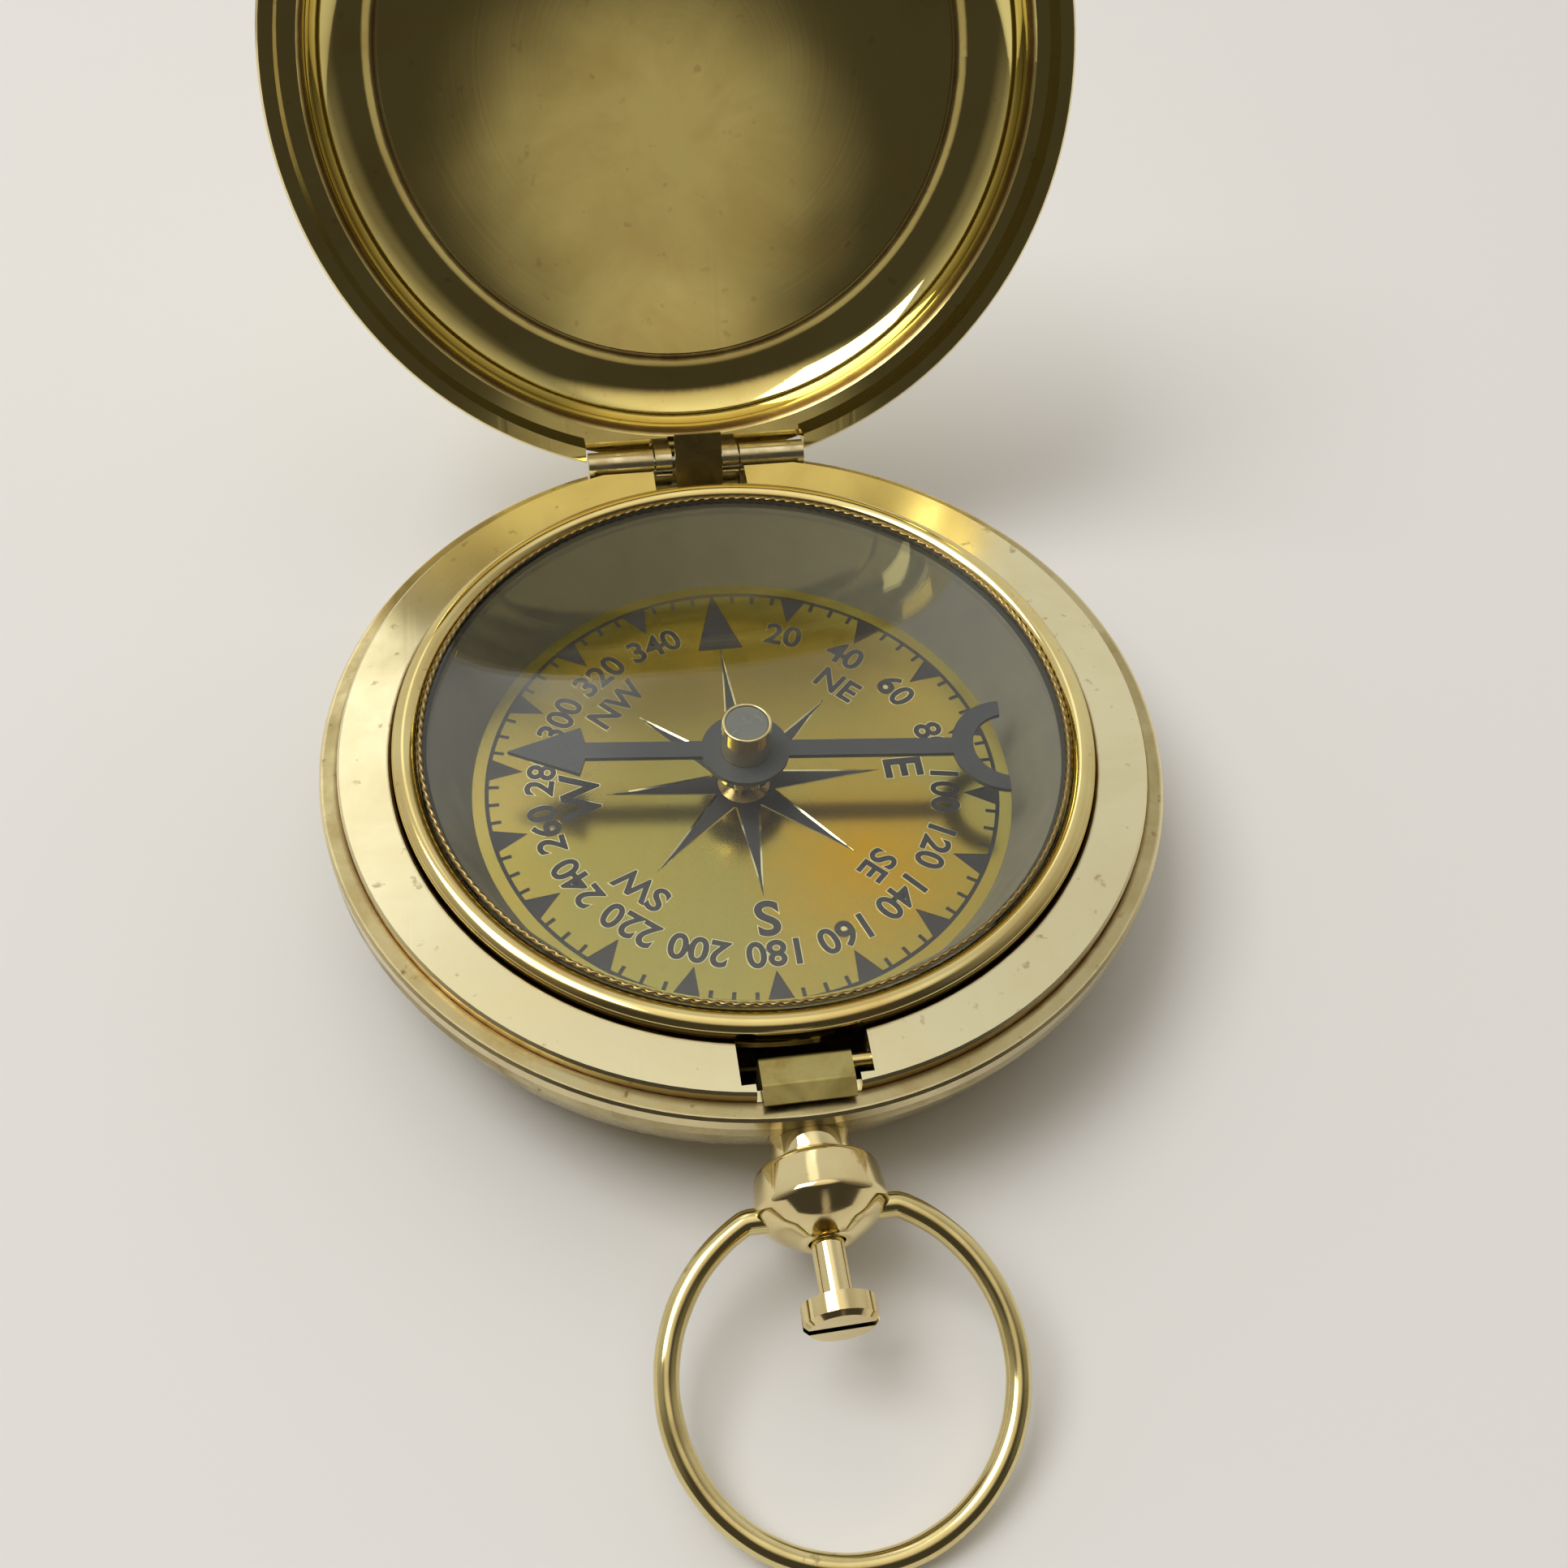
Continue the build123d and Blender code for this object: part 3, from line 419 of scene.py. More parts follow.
# %% [markdown]
# ## Brass
# Polished brass is a metal whose mirror is yellow. It could be one colour, but hands and years leave
# clouds, spots and scratches on it, and those are what make it look like metal.
# One function writes a brass for each piece: how clean, how smooth, and which way it was turned.
# Right on the axis of a domed solid the smoothed normal can be off, which a mirror finish shows as a dent.
# There the bare faces, which are nearly level, give a better one.

# %% Normal near the axis
def flat_within(tree, source, output, radius):
    """Normal of the bare faces within a radius of the Z axis, and the smoothed normal outside it."""
    faces = add_node(tree, "NewGeometry")
    reach = axis_distance(tree, source, output)
    inside = add_node(tree, "Math", operation="LESS_THAN")
    inside.inputs[1].default_value = radius
    normal = add_node(tree, "MixRGB")
    join(tree, reach, inside, "Value", 0)
    join(tree, inside, normal, 0, "Fac")
    join(tree, faces, normal, "Normal", "Color1")
    join(tree, faces, normal, "True Normal", "Color2")
    return normal


# %% Relief of a finish
def add_relief(tree, source, output, relief, last):
    """A chain of Bump nodes, one for each (effect, height in metres, scale). Scratches are cut inwards.
    The chain starts from the last normal, if there is one, and its end is handed back."""
    for effect, height, scale in relief:
        if effect == "waves":
            shape = add_node(tree, "TexNoise", Scale=scale, Detail=1.0)
        elif effect == "rings":
            shape = place_group(tree, lathe_rings, Rings_per_metre=scale)
        else:
            shape = place_group(tree, hair_scratches, Scale=scale)
        join(tree, source, shape, output, "Vector")
        bump = add_node(tree, "Bump", Strength=1.0, Distance=height, invert=effect == "scratches")
        join(tree, shape, bump, 0, "Height")
        if last:
            join(tree, last, bump, 0, "Normal")
        last = bump
    return last


# %% Brass by recipe
def brass(name, smooth, dull, relief=(), bands=(), turned=None, moved=None, flat_centre=0.0, **age):
    """A brass material. Roughness runs from smooth where clean to dull where tarnished.
    Relief is a list of (effect, height in metres, scale).
    A band is (radius, height, width, colour, roughness).
    Within flat_centre metres of the axis the bare faces give the normal."""
    finish = bpy.data.materials.new(name)
    finish.use_nodes = True
    tree = finish.node_tree
    metal = tree.nodes["Principled BSDF"]
    metal.inputs["Metallic"].default_value = 1.0
    where = add_node(tree, "TexCoord")
    source, output = where, "Object"
    if turned or moved:
        set_up = add_node(tree, "Mapping", Rotation=turned or (0, 0, 0), Location=moved or (0, 0, 0))
        join(tree, where, set_up, "Object", "Vector")
        source, output = set_up, "Vector"
    aged = place_group(tree, brass_tarnish, **age)
    join(tree, source, aged, output, "Vector")
    colour, colour_out = aged, "Color"
    rough = to_range(tree, aged, 0.0, 1.0, smooth, dull, output="Dullness")
    for radius, height, width, shade, roughness in bands:
        band = place_group(tree, circle_band, Radius=radius, Height=height, Width=width)
        join(tree, source, band, output, "Vector")
        mixed = add_node(tree, "MixRGB", Color2=shade)
        join(tree, band, mixed, 0, "Fac")
        join(tree, colour, mixed, colour_out, "Color1")
        colour, colour_out = mixed, 0
        rougher = add_node(tree, "Mix", data_type="FLOAT", B=roughness)
        join(tree, band, rougher, 0, "Factor")
        join(tree, rough, rougher, 0, "A")
        rough = rougher
    join(tree, colour, metal, colour_out, "Base Color")
    join(tree, rough, metal, 0, "Roughness")
    middle = flat_within(tree, source, output, flat_centre) if flat_centre else None
    last = add_relief(tree, source, output, relief, middle)
    if last:
        join(tree, last, metal, 0, "Normal")
    return finish


# %% Brass of the case and the lid
HINGE = Vector((0, 0.02424, 0.00927))
LID_ANGLE = math.radians(114.0)
shut = Matrix.Rotation(LID_ANGLE, 3, "X")
LID_TURN, LID_MOVE = (LID_ANGLE, 0, 0), tuple(HINGE - shut @ HINGE)
CROWN_TURN, CROWN_MOVE = (math.radians(90), 0, 0), (0, 0.006, 0)
# The bright colour below is a painted highlight: bands of it along the rim edges of the case, ring and lid
# stand in for the light a rounded edge catches.
EDGE_HIGHLIGHT = (0.88, 0.76, 0.44, 1)
# The dark colour below is painted shade: bands of it in the gap under the bezel, at the foot of the ring and
# in the grooves inside the lid.
GAP_SHADE = (0.17, 0.1, 0.035, 1)
LID_FAN_RADIUS = 0.00505

case_finish = brass(
    "aged_case_brass", 0.18, 0.45, [("rings", 0.8e-6, 5000.0), ("scratches", 2e-6, 700.0)],
    [(0.02493, 0.009, 0.00028, EDGE_HIGHLIGHT, 0.14), (0.0239, 0.009, 0.0004, GAP_SHADE, 0.5)],
    Clean=(0.56, 0.48, 0.25, 1), Olive=(0.32, 0.24, 0.09, 1), Clouds=0.9, Spotting=0.9, Cloud_scale=190.0)
ring_finish = brass(
    "satin_ring_brass", 0.18, 0.36, [("rings", 0.6e-6, 6000.0), ("scratches", 1.5e-6, 700.0)],
    [(0.02085, 0.0098, 0.0003, GAP_SHADE, 0.45), (0.02385, 0.0098, 0.00014, EDGE_HIGHLIGHT, 0.12)],
    Clean=(0.86, 0.79, 0.5, 1), Olive=(0.64, 0.52, 0.24, 1), Clouds=0.4, Spotting=0.5)
lid_finish = brass(
    "mirror_lid_brass", 0.05, 0.14,
    [("waves", 2e-5, 130.0), ("rings", 0.3e-6, 3000.0), ("scratches", 1e-6, 500.0)],
    [(0.0185, 0.0141, 0.0004, GAP_SHADE, 0.4), (0.0226, 0.0105, 0.0003, GAP_SHADE, 0.4),
     (0.02493, 0.0099, 0.00025, EDGE_HIGHLIGHT, 0.15)],
    turned=LID_TURN, moved=LID_MOVE, flat_centre=LID_FAN_RADIUS,
    Clean=(0.76, 0.65, 0.25, 1), Olive=(0.58, 0.42, 0.13, 1), Clouds=0.5, Spotting=0.25)
print("lid finish turned by", round(math.degrees(LID_ANGLE)), "degrees about its hinge")

# %% Brass of the small pieces
crown_finish = brass(
    "polished_crown_brass", 0.05, 0.3, [("rings", 0.3e-6, 5000.0)],
    turned=CROWN_TURN, moved=CROWN_MOVE,
    Clean=(0.82, 0.7, 0.38, 1), Olive=(0.6, 0.4, 0.14, 1), Clouds=0.4, Spotting=0.3, Cloud_scale=200.0)
bow_finish = brass(
    "polished_bow_brass", 0.1, 0.35, [("scratches", 1.5e-6, 900.0)],
    Clean=(0.78, 0.66, 0.32, 1), Clouds=0.5, Spotting=0.5, Cloud_scale=260.0)
bezel_finish = brass(
    "bezel_brass", 0.08, 0.32, [("rings", 0.5e-6, 6000.0)],
    Clean=(0.78, 0.66, 0.3, 1), Olive=(0.58, 0.36, 0.08, 1), Clouds=0.5, Spotting=0.4)
# The dial's one band, an orange patch round a point at its front right, is a painted reflection.
dial_finish = brass(
    "polished_dial_brass", 0.2, 0.28, [("scratches", 0.6e-6, 500.0)],
    [(0.0, 0.0047, 0.0115, (0.66, 0.37, 0.02, 1), 0.2)], moved=(-0.0065, 0.0065, 0),
    Clean=(0.46, 0.39, 0.105, 1), Olive=(0.52, 0.35, 0.06, 1), Clouds=0.6, Spotting=0.15, Cloud_scale=90.0)
# This very bright brass, on the engraved walls and the outlines round the figures, is a painted glint, partly
# the bare brass of the cut.
glint_burr_finish = brass(
    "painted_glint_burr_brass", 0.14, 0.3, Clean=(0.93, 0.87, 0.55, 1), Clouds=0.3, Spotting=0.0)
hinge_finish = brass(
    "hinge_brass", 0.2, 0.45, [("scratches", 2e-6, 900.0)],
    Clean=(0.76, 0.68, 0.44, 1), Olive=(0.36, 0.27, 0.1, 1), Clouds=0.8, Spotting=0.8, Cloud_scale=500.0)
catch_finish = brass(
    "worn_catch_brass", 0.28, 0.5, [("scratches", 3e-6, 900.0)],
    Clean=(0.4, 0.34, 0.13, 1), Olive=(0.26, 0.2, 0.06, 1), Clouds=0.9, Spotting=0.5, Cloud_scale=400.0)
# The springs' very dark brass is painted shade, so that the flat spring shows dark instead of mirroring the
# pale sky.
shaded_spring_finish = brass(
    "painted_shade_spring_brass", 0.35, 0.55, [("scratches", 2e-6, 900.0)],
    Clean=(0.26, 0.2, 0.07, 1), Olive=(0.12, 0.09, 0.03, 1), Clouds=1.0, Spotting=0.5, Cloud_scale=300.0)
# The pivot's dark brown brass is painted shade under the needle's hub and a painted dark reflection.
shaded_pivot_finish = brass(
    "painted_shade_pivot_brass", 0.2, 0.4,
    Clean=(0.34, 0.24, 0.09, 1), Olive=(0.2, 0.13, 0.04, 1), Clouds=0.6, Spotting=0.2)
print("brass finishes:", [m.name for m in bpy.data.materials if m.name.endswith("brass")])

# %% [markdown]
# ## Steel, enamel, paint, jewel and glass
# The needle is blued steel, the marks are filled with black enamel, the wall under the glass is painted grey.
# Glass is clear for lamps: its shadow is left out with a Light Path node, or the dial under it would be dark.

# %% Other finishes
def coated(name, light, dark, roughness, metallic=0.0, scale=800.0, grain=0.0):
    """A finish of two near shades mixed by noise, with a fine grain of the given height in metres."""
    finish = bpy.data.materials.new(name)
    finish.use_nodes = True
    tree = finish.node_tree
    coat = tree.nodes["Principled BSDF"]
    coat.inputs["Metallic"].default_value = metallic
    where = add_node(tree, "TexCoord")
    cloud = add_node(tree, "TexNoise", Scale=scale, Detail=4.0, Roughness=0.6)
    shade = add_node(tree, "MixRGB", Color1=light, Color2=dark)
    join(tree, where, cloud, "Object", "Vector")
    join(tree, cloud, shade, 0, "Fac")
    join(tree, shade, coat, 0, "Base Color")
    rough = to_range(tree, cloud, 0.3, 0.7, roughness * 0.8, roughness * 1.2)
    join(tree, rough, coat, 0, "Roughness")
    if grain:
        bump = add_node(tree, "Bump", Strength=1.0, Distance=grain)
        join(tree, cloud, bump, 0, "Height")
        join(tree, bump, coat, 0, "Normal")
    return finish


def clear_glass(name):
    """Window glass, faintly green. Shadow rays pass straight through it."""
    finish = bpy.data.materials.new(name)
    finish.use_nodes = True
    tree = finish.node_tree
    glass = tree.nodes["Principled BSDF"]
    glass.inputs["Base Color"].default_value = (0.96, 0.985, 0.965, 1)
    glass.inputs["Roughness"].default_value = 0.0
    glass.inputs["IOR"].default_value = 1.36
    glass.inputs["Transmission Weight"].default_value = 1.0
    path = add_node(tree, "LightPath")
    through = add_node(tree, "BsdfTransparent")
    choice = add_node(tree, "MixShader")
    join(tree, path, choice, "Is Shadow Ray", 0)
    join(tree, glass, choice, 0, 1)
    join(tree, through, choice, 0, 2)
    join(tree, choice, tree.nodes["Material Output"], 0, "Surface")
    return finish


enamel_finish = coated("brown_black_enamel", (0.012, 0.009, 0.008, 1), (0.03, 0.025, 0.022, 1), 0.55)
paint_finish = coated("grey_wall_paint", (0.17, 0.16, 0.12, 1), (0.12, 0.112, 0.085, 1), 0.55, scale=300.0)
needle_finish = coated("blued_needle_steel", (0.036, 0.036, 0.038, 1), (0.052, 0.052, 0.054, 1), 0.5,
                       metallic=0.3)
steel_finish = coated("bright_steel", (0.55, 0.54, 0.5, 1), (0.4, 0.39, 0.35, 1), 0.3, metallic=1.0)
wire_finish = coated("brown_wire", (0.46, 0.35, 0.15, 1), (0.24, 0.17, 0.07, 1), 0.3, metallic=1.0)
jewel_finish = coated("grey_jewel", (0.15, 0.15, 0.13, 1), (0.09, 0.09, 0.08, 1), 0.25)
glass_finish = clear_glass("window_glass")
print("finishes in all:", len(bpy.data.materials))

# %% [markdown]
# ## Finishes on the solids that stay
# Most solids already have the right shape, so they keep it and only get a finish in their material slots.

# %% Dress the solids
FINISH_OF = {
    "case_body": case_finish, "top_ring": ring_finish, "compass_bowl": case_finish, "dial": dial_finish,
    "dial_enamel": enamel_finish, "spacer_ring": paint_finish, "glass": glass_finish,
    "glass_retaining_ring": wire_finish, "bezel": bezel_finish, "pivot_post": shaded_pivot_finish,
    "needle": needle_finish, "needle_cap": crown_finish, "cap_jewel": jewel_finish, "lid": lid_finish,
    "lid_hinge_knuckles": hinge_finish, "case_hinge_knuckles": hinge_finish, "hinge_pin": steel_finish,
    "lid_spring": shaded_spring_finish, "lid_spring_pin": steel_finish, "crown_collar": crown_finish,
    "crown_ball": crown_finish, "push_button": crown_finish, "catch": catch_finish, "bow": bow_finish,
    "catch_guide_pin": bezel_finish, "catch_spring": shaded_spring_finish, "catch_spring_post": ring_finish,
}
for name, solid in solids.items():
    for index in range(len(solid.material_slots)):
        solid.material_slots[index].material = FINISH_OF[name]
print("solids dressed:", len(FINISH_OF))

# %% [markdown]
# ## Surfaces from arrays
# A turned piece is an outline carried round an axis, and a wire is a circle carried along a path.
# Both are grids of points, so they are worked out as whole arrays and handed to Blender in one call.

# %% Grid helpers
def grid_faces(rows, columns, looped=True):
    """Quads of a grid: each joins a point, its neighbour and the next row's two.
    Columns close on themselves. Rows do too when looped, or run from the first row to the last."""
    row, column = np.meshgrid(np.arange(rows if looped else rows - 1), np.arange(columns), indexing="ij")
    next_row, next_column = (row + 1) % rows, (column + 1) % columns
    corners = [row * columns + column, row * columns + next_column,
               next_row * columns + next_column, next_row * columns + column]
    return np.stack(corners, axis=-1).reshape(-1, 4)


# %% Mesh helpers
MERGE_DISTANCE = 1e-7


def close_shell(mesh):
    """Merges points that lie together, and turns every face outwards."""
    shell = bmesh.new()
    shell.from_mesh(mesh)
    bmesh.ops.remove_doubles(shell, verts=shell.verts, dist=MERGE_DISTANCE)
    bmesh.ops.recalc_face_normals(shell, faces=shell.faces)
    shell.to_mesh(mesh)
    shell.free()


def add_piece(name, mesh, finish, body):
    """Puts a mesh into the scene with its finish, on the body that it moves with."""
    mesh.materials.append(finish)
    piece = bpy.data.objects.new(name, mesh)
    bpy.context.scene.collection.objects.link(piece)
    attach(piece, body)
    print(name, len(mesh.vertices), "points")
    return piece


def make_piece(name, points, faces, finish, body, stands_for=(), sharp=60.0):
    """A smooth piece in millimetres from arrays of points and faces.
    Edges that turn by more than the sharp angle, in degrees, stay sharp."""
    mesh = bpy.data.meshes.new(name)
    mesh.from_pydata((np.asarray(points).reshape(-1, 3) * MM).tolist(), [], np.asarray(faces).tolist())
    close_shell(mesh)
    mesh.shade_smooth()
    mesh.set_sharp_from_angle(angle=math.radians(sharp))
    piece = add_piece(name, mesh, finish, body)
    if stands_for:
        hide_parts(*stands_for)
    return piece


# %% Outlines and turning
def eased(corners, radius, steps=6):
    """A closed outline whose corners are eased: each becomes a parabola between two points on its sides,
    one radius away from the corner but never past the middle of a side."""
    corner = np.asarray(corners, dtype=float)
    before, after = np.roll(corner, 1, axis=0) - corner, np.roll(corner, -1, axis=0) - corner
    long_before, long_after = np.linalg.norm(before, axis=1), np.linalg.norm(after, axis=1)
    start = corner + before * (np.minimum(radius, 0.45 * long_before) / long_before)[:, None]
    end = corner + after * (np.minimum(radius, 0.45 * long_after) / long_after)[:, None]
    s = np.linspace(0, 1, steps)[None, :, None]
    arc = (1 - s) ** 2 * start[:, None] + 2 * s * (1 - s) * corner[:, None] + s**2 * end[:, None]
    return arc.reshape(-1, 2)


def turned_upright(outline, segments):
    """An outline of (radius, height) carried round the Z axis."""
    angle = np.linspace(0, 2 * np.pi, segments, endpoint=False)[None, :]
    radius, height = outline[:, :1], outline[:, 1:]
    return np.stack([radius * np.cos(angle), radius * np.sin(angle), height + 0 * angle], axis=-1)


CROWN_HEIGHT = 6.0


def turned_level(outline, segments):
    """An outline of (radius, y) carried round the crown's level axis."""
    angle = np.linspace(0, 2 * np.pi, segments, endpoint=False)[None, :]
    radius, along = outline[:, :1], outline[:, 1:]
    height = CROWN_HEIGHT + radius * np.sin(angle)
    return np.stack([radius * np.cos(angle), along + 0 * angle, height], axis=-1)


# %% [markdown]
# ## Bezel and its wire
# The bezel holds the glass: a skirt round the bowl, with a rounded bead above it.
# Inside it lies a springy wire that keeps the glass down, two thin strands twisted together,
# which is why its edge looks toothed.
# The bead is half an ellipse. The wire's section is a circle with two lobes that turn as it goes round.

# %% Bezel
BEAD_RADIUS, BEAD_HEIGHT = 19.975, 10.16
BEAD_HALF_WIDTH, BEAD_RISE, BEAD_END = 0.725, 0.61, 152
SKIRT = [(19.27, 10.42), (19.27, 9.93), (19.78, 9.93), (19.78, 8.93), (20.62, 8.93), (20.7, 9.01)]
BEZEL_SEGMENTS = 256


def bezel_outline():
    """Skirt corners joined to a bead: an ellipse from its outer wall over the top to the lip
    above the glass."""
    lean = np.radians(np.linspace(0, BEAD_END, 40))
    radius, height = BEAD_RADIUS + BEAD_HALF_WIDTH * np.cos(lean), BEAD_HEIGHT + BEAD_RISE * np.sin(lean)
    return np.concatenate([np.stack([radius, height], axis=1), np.array(SKIRT)])


outline = bezel_outline()
make_piece("bezel_bead", turned_upright(outline, BEZEL_SEGMENTS), grid_faces(len(outline), BEZEL_SEGMENTS),
           bezel_finish, "case", ["bezel"])


# %% Twisted wire
def twisted_wire(radius, height, thickness, twists, steps, around):
    """A ring of two twisted strands: the section's radius swells twice round it, and that swelling turns
    as it goes round the ring."""
    along = np.linspace(0, 2 * np.pi, steps, endpoint=False)[:, None]
    about = np.linspace(0, 2 * np.pi, around, endpoint=False)[None, :]
    section = thickness * (0.8 + 0.2 * np.cos(2 * (about - twists * along)))
    reach = radius + section * np.cos(about)
    return np.stack([reach * np.cos(along), reach * np.sin(along), height + section * np.sin(about)], axis=-1)


WIRE_STEPS, WIRE_AROUND = 1440, 12
wire = twisted_wire(radius=19.03, height=10.63, thickness=0.15, twists=90, steps=WIRE_STEPS,
                    around=WIRE_AROUND)
make_piece("twisted_retaining_wire", wire, grid_faces(WIRE_STEPS, WIRE_AROUND), wire_finish,
           "case", ["glass_retaining_ring"])

# %% [markdown]
# ## Cap, collar and crown ball
# These are small lathe work with eased edges, because a sharp corner catches no light
# and a real one always does.
# Each keeps the size of its solid. Only the corners are eased.

# %% Turned small pieces
cap = eased([(0.95, 6.2), (1.85, 6.2), (1.85, 7.73), (1.5, 7.77), (1.5, 10.5), (1.27, 10.5), (1.27, 9.96),
             (0.95, 9.94)], 0.1)
collar = eased([(0.93, -23.97), (2.15, -23.97), (2.15, -26.14), (0.93, -26.14)], 0.16)
ball = eased([(0.93, -26.16), (1.95, -26.16), (3.3, -26.65), (3.6, -28.9), (2.52, -29.85), (1.3, -30.6),
              (0.93, -30.6)], 0.3, 8)
for name, points, finish, body, slot, node in (
    ("needle_cap_turned", turned_upright(cap, 96), crown_finish, "needle", "case_brass", "needle_cap"),
    ("crown_collar_turned", turned_level(collar, 128), crown_finish, "case", "case_brass", "crown_collar"),
    ("crown_ball_turned", turned_level(ball, 160), crown_finish, "case", "case_brass", "crown_ball"),
):
    make_piece(name, points, grid_faces(*points.shape[:2]), finish, body, [node])

# %% [markdown]
# ## Bow
# The bow is one length of round wire: two short pins in the ball, two tight bends and a ring.
# A bent wire is never quite even, so its thickness wanders by a few hundredths.

# %% Bow
BOW_RADIUS, BOW_BEND, BOW_WIRE, BOW_PIN_START, BOW_PIN_END = 8.87, 1.0, 0.66, 2.2, 3.72
BOW_PIVOT = np.array([0, -28.9, CROWN_HEIGHT])
BOW_DROP = 5.04


def bow_wire(steps, around):
    """A circle carried along the bow's middle line. The line's heading is 0 on a pin and grows by one
    over the radius on each arc, and adding up its cosine and sine gives the line.
    The circle shrinks to a point at both ends."""
    turn = math.asin(BOW_PIN_END / (BOW_RADIUS - BOW_BEND))
    centre = BOW_BEND + (BOW_RADIUS - BOW_BEND) * math.cos(turn)
    droop = math.asin(BOW_DROP / (centre + BOW_RADIUS))
    pin, bend, ring = BOW_PIN_END - BOW_PIN_START, BOW_BEND * turn, 2 * BOW_RADIUS * (math.pi - turn)
    place = np.linspace(0, 2 * pin + 2 * bend + ring, steps)
    heading = np.interp(place, np.cumsum([0, pin, bend, ring, bend, pin]),
                        [0, 0, turn, 2 * math.pi - turn, 2 * math.pi, 2 * math.pi])
    middle = (heading[1:] + heading[:-1]) / 2
    step = place[1]
    across = BOW_PIN_START + np.concatenate([[0], np.cumsum(np.cos(middle)) * step])
    out = np.concatenate([[0], np.cumsum(np.sin(middle)) * step])
    sideways, outwards = np.array([1, 0, 0]), np.array([0, -math.cos(droop), -math.sin(droop)])
    square = np.array([0, math.sin(droop), -math.cos(droop)])
    line = BOW_PIVOT + across[:, None] * sideways + out[:, None] * outwards
    inwards = np.cos(heading)[:, None] * outwards - np.sin(heading)[:, None] * sideways
    thick = BOW_WIRE * (1 + 0.012 * np.sin(place * 0.9) + 0.008 * np.sin(place * 2.3 + 1))
    thick[[0, -1]] = 0
    about = np.linspace(0, 2 * np.pi, around, endpoint=False)[None, :, None]
    section = np.cos(about) * inwards[:, None, :] + np.sin(about) * square
    return line[:, None, :] + thick[:, None, None] * section


BOW_STEPS, BOW_AROUND = 480, 24
make_piece("bow_wire", bow_wire(BOW_STEPS, BOW_AROUND), grid_faces(BOW_STEPS, BOW_AROUND, looped=False),
           bow_finish, "bow", ["bow"])

# %% [markdown]
# ## Bright walls of the engraving
# A graver cuts a ray with two sloping walls, and the brass of the walls is seen beside the enamel. Their very
# bright brass is a painted glint, partly the bare brass of the cut.
# Each wall is a thin wedge: full width along the cut and running out to nothing at the point.
# All the wedges are worked out together, one axis of the array for the marks and one for the two sides.

# %% Engraved walls
def wall_wedges(marks, width, low, high):
    """Wedges inside triangular marks, each given as (bearing, radius of the base, half its width,
    radius of the tip). A point lies on the line from a base corner to the tip, moved towards the
    middle line by up to width or half of what is left of the mark.
    Three corners make the section: at the edge high and low, and inside low."""
    bearing, base, half, tip = np.asarray(marks, dtype=float).T[:, :, None, None]
    side = np.array([-1.0, 1.0])[None, :, None]
    share = np.concatenate([[0.0], np.linspace(0, 0.96, 12), [0.96]])[None, None, :]
    full = np.concatenate([[0.0], np.ones(12), [0.0]])[None, None, :]
    reach = base + (tip - base) * share + 0 * side
    beside = half * (1 - share)
    inside = beside - np.minimum(width, 0.5 * beside) * full
    edge, inner = side * beside + 0 * reach, side * inside + 0 * reach
    sideways = np.stack([edge, inner, edge], axis=-1)
    height = np.stack([low + (high - low) * full + 0 * reach, low + 0 * reach, low + 0 * reach], axis=-1)
    angle = np.radians(bearing)[..., None]
    reach = reach[..., None]
    x = sideways * np.cos(angle) + reach * np.sin(angle)
    y = reach * np.cos(angle) - sideways * np.sin(angle)
    return np.stack([x, y, height], axis=-1)


RAY_BASE, RAY_HALF_WIDTH, RAY_TIP, NORTH_RAY_TIP = 1.848, 0.765, 8.5, 10.9
rays = [(bearing, RAY_BASE, RAY_HALF_WIDTH, RAY_TIP) for bearing in range(45, 360, 45)]
rays.append((0, RAY_BASE, RAY_HALF_WIDTH, NORTH_RAY_TIP))
walls = wall_wedges(rays, width=0.11, low=4.662, high=4.704)
wedges, rows = walls.shape[0] * walls.shape[1], walls.shape[2]
wall_faces = grid_faces(rows, 3, looped=False)[None] + (np.arange(wedges) * rows * 3)[:, None, None]
make_piece("engraved_walls", walls, wall_faces.reshape(-1, 4), glint_burr_finish, "case", sharp=5.0)
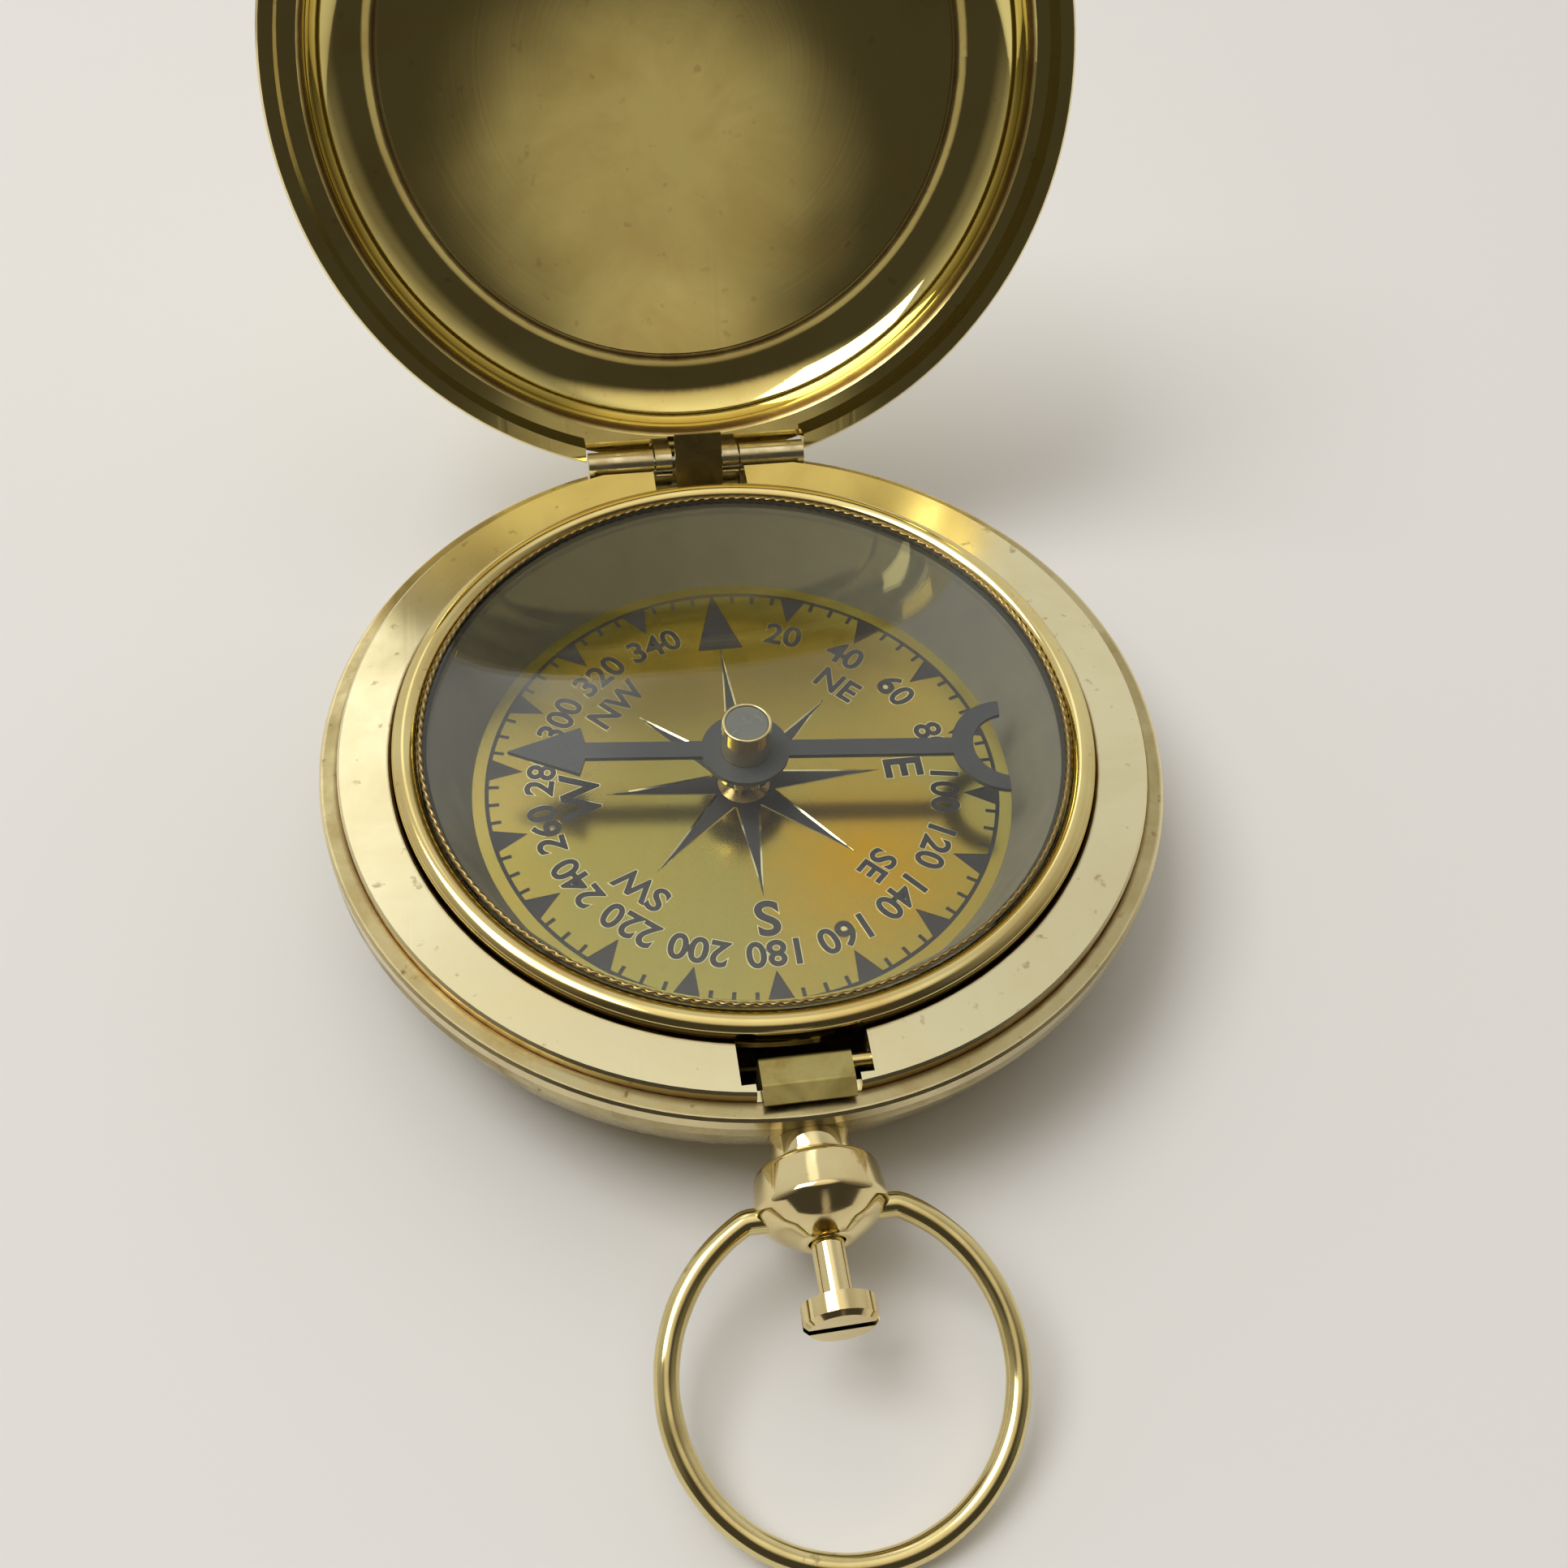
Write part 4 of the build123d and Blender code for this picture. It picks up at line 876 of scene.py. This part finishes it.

# %% [markdown]
# ## Figures of the dial
# On the real dial the figures are engraved and filled with enamel, and the edge that the graver leaves round
# them glints.
# Here that edge is an outline of very bright brass: a painted glint, partly the bare brass of the cut. They
# could be drawn in the material, but raised marks stay crisp close up.
# Blender's own font is made a mesh, and whole arrays of its points are turned to their bearing,
# tops outwards.

# %% One word as points and faces
def word_mesh(word, size, lift, spread):
    """A word in Blender's own font as arrays: its points, centred on the origin, and its faces."""
    curve = bpy.data.curves.new(word, "FONT")
    curve.body = word
    curve.size = size
    curve.align_x = "CENTER"
    curve.align_y = "CENTER"
    curve.extrude = lift / 2
    curve.offset = spread
    curve.resolution_u = 6
    setting = bpy.data.objects.new(word, curve)
    bpy.context.scene.collection.objects.link(setting)
    flat = bpy.data.meshes.new_from_object(setting.evaluated_get(bpy.context.evaluated_depsgraph_get()))
    xyz = np.empty(len(flat.vertices) * 3)
    flat.vertices.foreach_get("co", xyz)
    xyz = xyz.reshape(-1, 3)
    faces = [tuple(face.vertices) for face in flat.polygons]
    bpy.data.objects.remove(setting)
    bpy.data.curves.remove(curve)
    bpy.data.meshes.remove(flat)
    xyz[:, :2] -= (xyz[:, :2].min(axis=0) + xyz[:, :2].max(axis=0)) / 2
    return xyz, faces


# %% Words round the dial
DIAL_TOP = 4.7 * MM


def engraved(name, words, radius, size, lift, spread, finish):
    """Words set round the dial: each is moved out by radius and turned clockwise by its bearing."""
    points, faces, count = [], [], 0
    for bearing, word in words:
        xyz, word_faces = word_mesh(word, size, lift, spread)
        angle = math.radians(bearing)
        x, y, z = xyz[:, 0], xyz[:, 1] + radius, xyz[:, 2] + DIAL_TOP + lift / 2
        points.append(np.stack([x * math.cos(angle) + y * math.sin(angle),
                                y * math.cos(angle) - x * math.sin(angle), z], axis=1))
        faces.extend([tuple(v + count for v in face) for face in word_faces])
        count += len(xyz)
    mesh = bpy.data.meshes.new(name)
    mesh.from_pydata(np.concatenate(points).tolist(), [], faces)
    close_shell(mesh)
    return add_piece(name, mesh, finish, "case")


# %% Figures and letters
figures = [(bearing, str(bearing)) for bearing in range(20, 360, 20)]
letters = [(90, "E"), (180, "S"), (270, "W")]
half_points = [(45, "NE"), (135, "SE"), (225, "SW"), (315, "NW")]
ENAMEL_LIFT, BURR_LIFT, BURR_WIDTH = 0.02 * MM, 0.012 * MM, 0.05 * MM
for name, words, radius, size, bold in (
    ("dial_figures", figures, 12.4 * MM, 2.4 * MM, 0.06 * MM),
    ("dial_letters", letters, 10.0 * MM, 3.3 * MM, 0.08 * MM),
    ("dial_half_points", half_points, 10.0 * MM, 2.3 * MM, 0.06 * MM),
):
    engraved(name, words, radius, size, ENAMEL_LIFT, bold, enamel_finish)
    engraved(name + "_burr", words, radius, size, BURR_LIFT, bold + BURR_WIDTH, glint_burr_finish)
print("figures", len(figures), "letters", len(letters) + len(half_points))
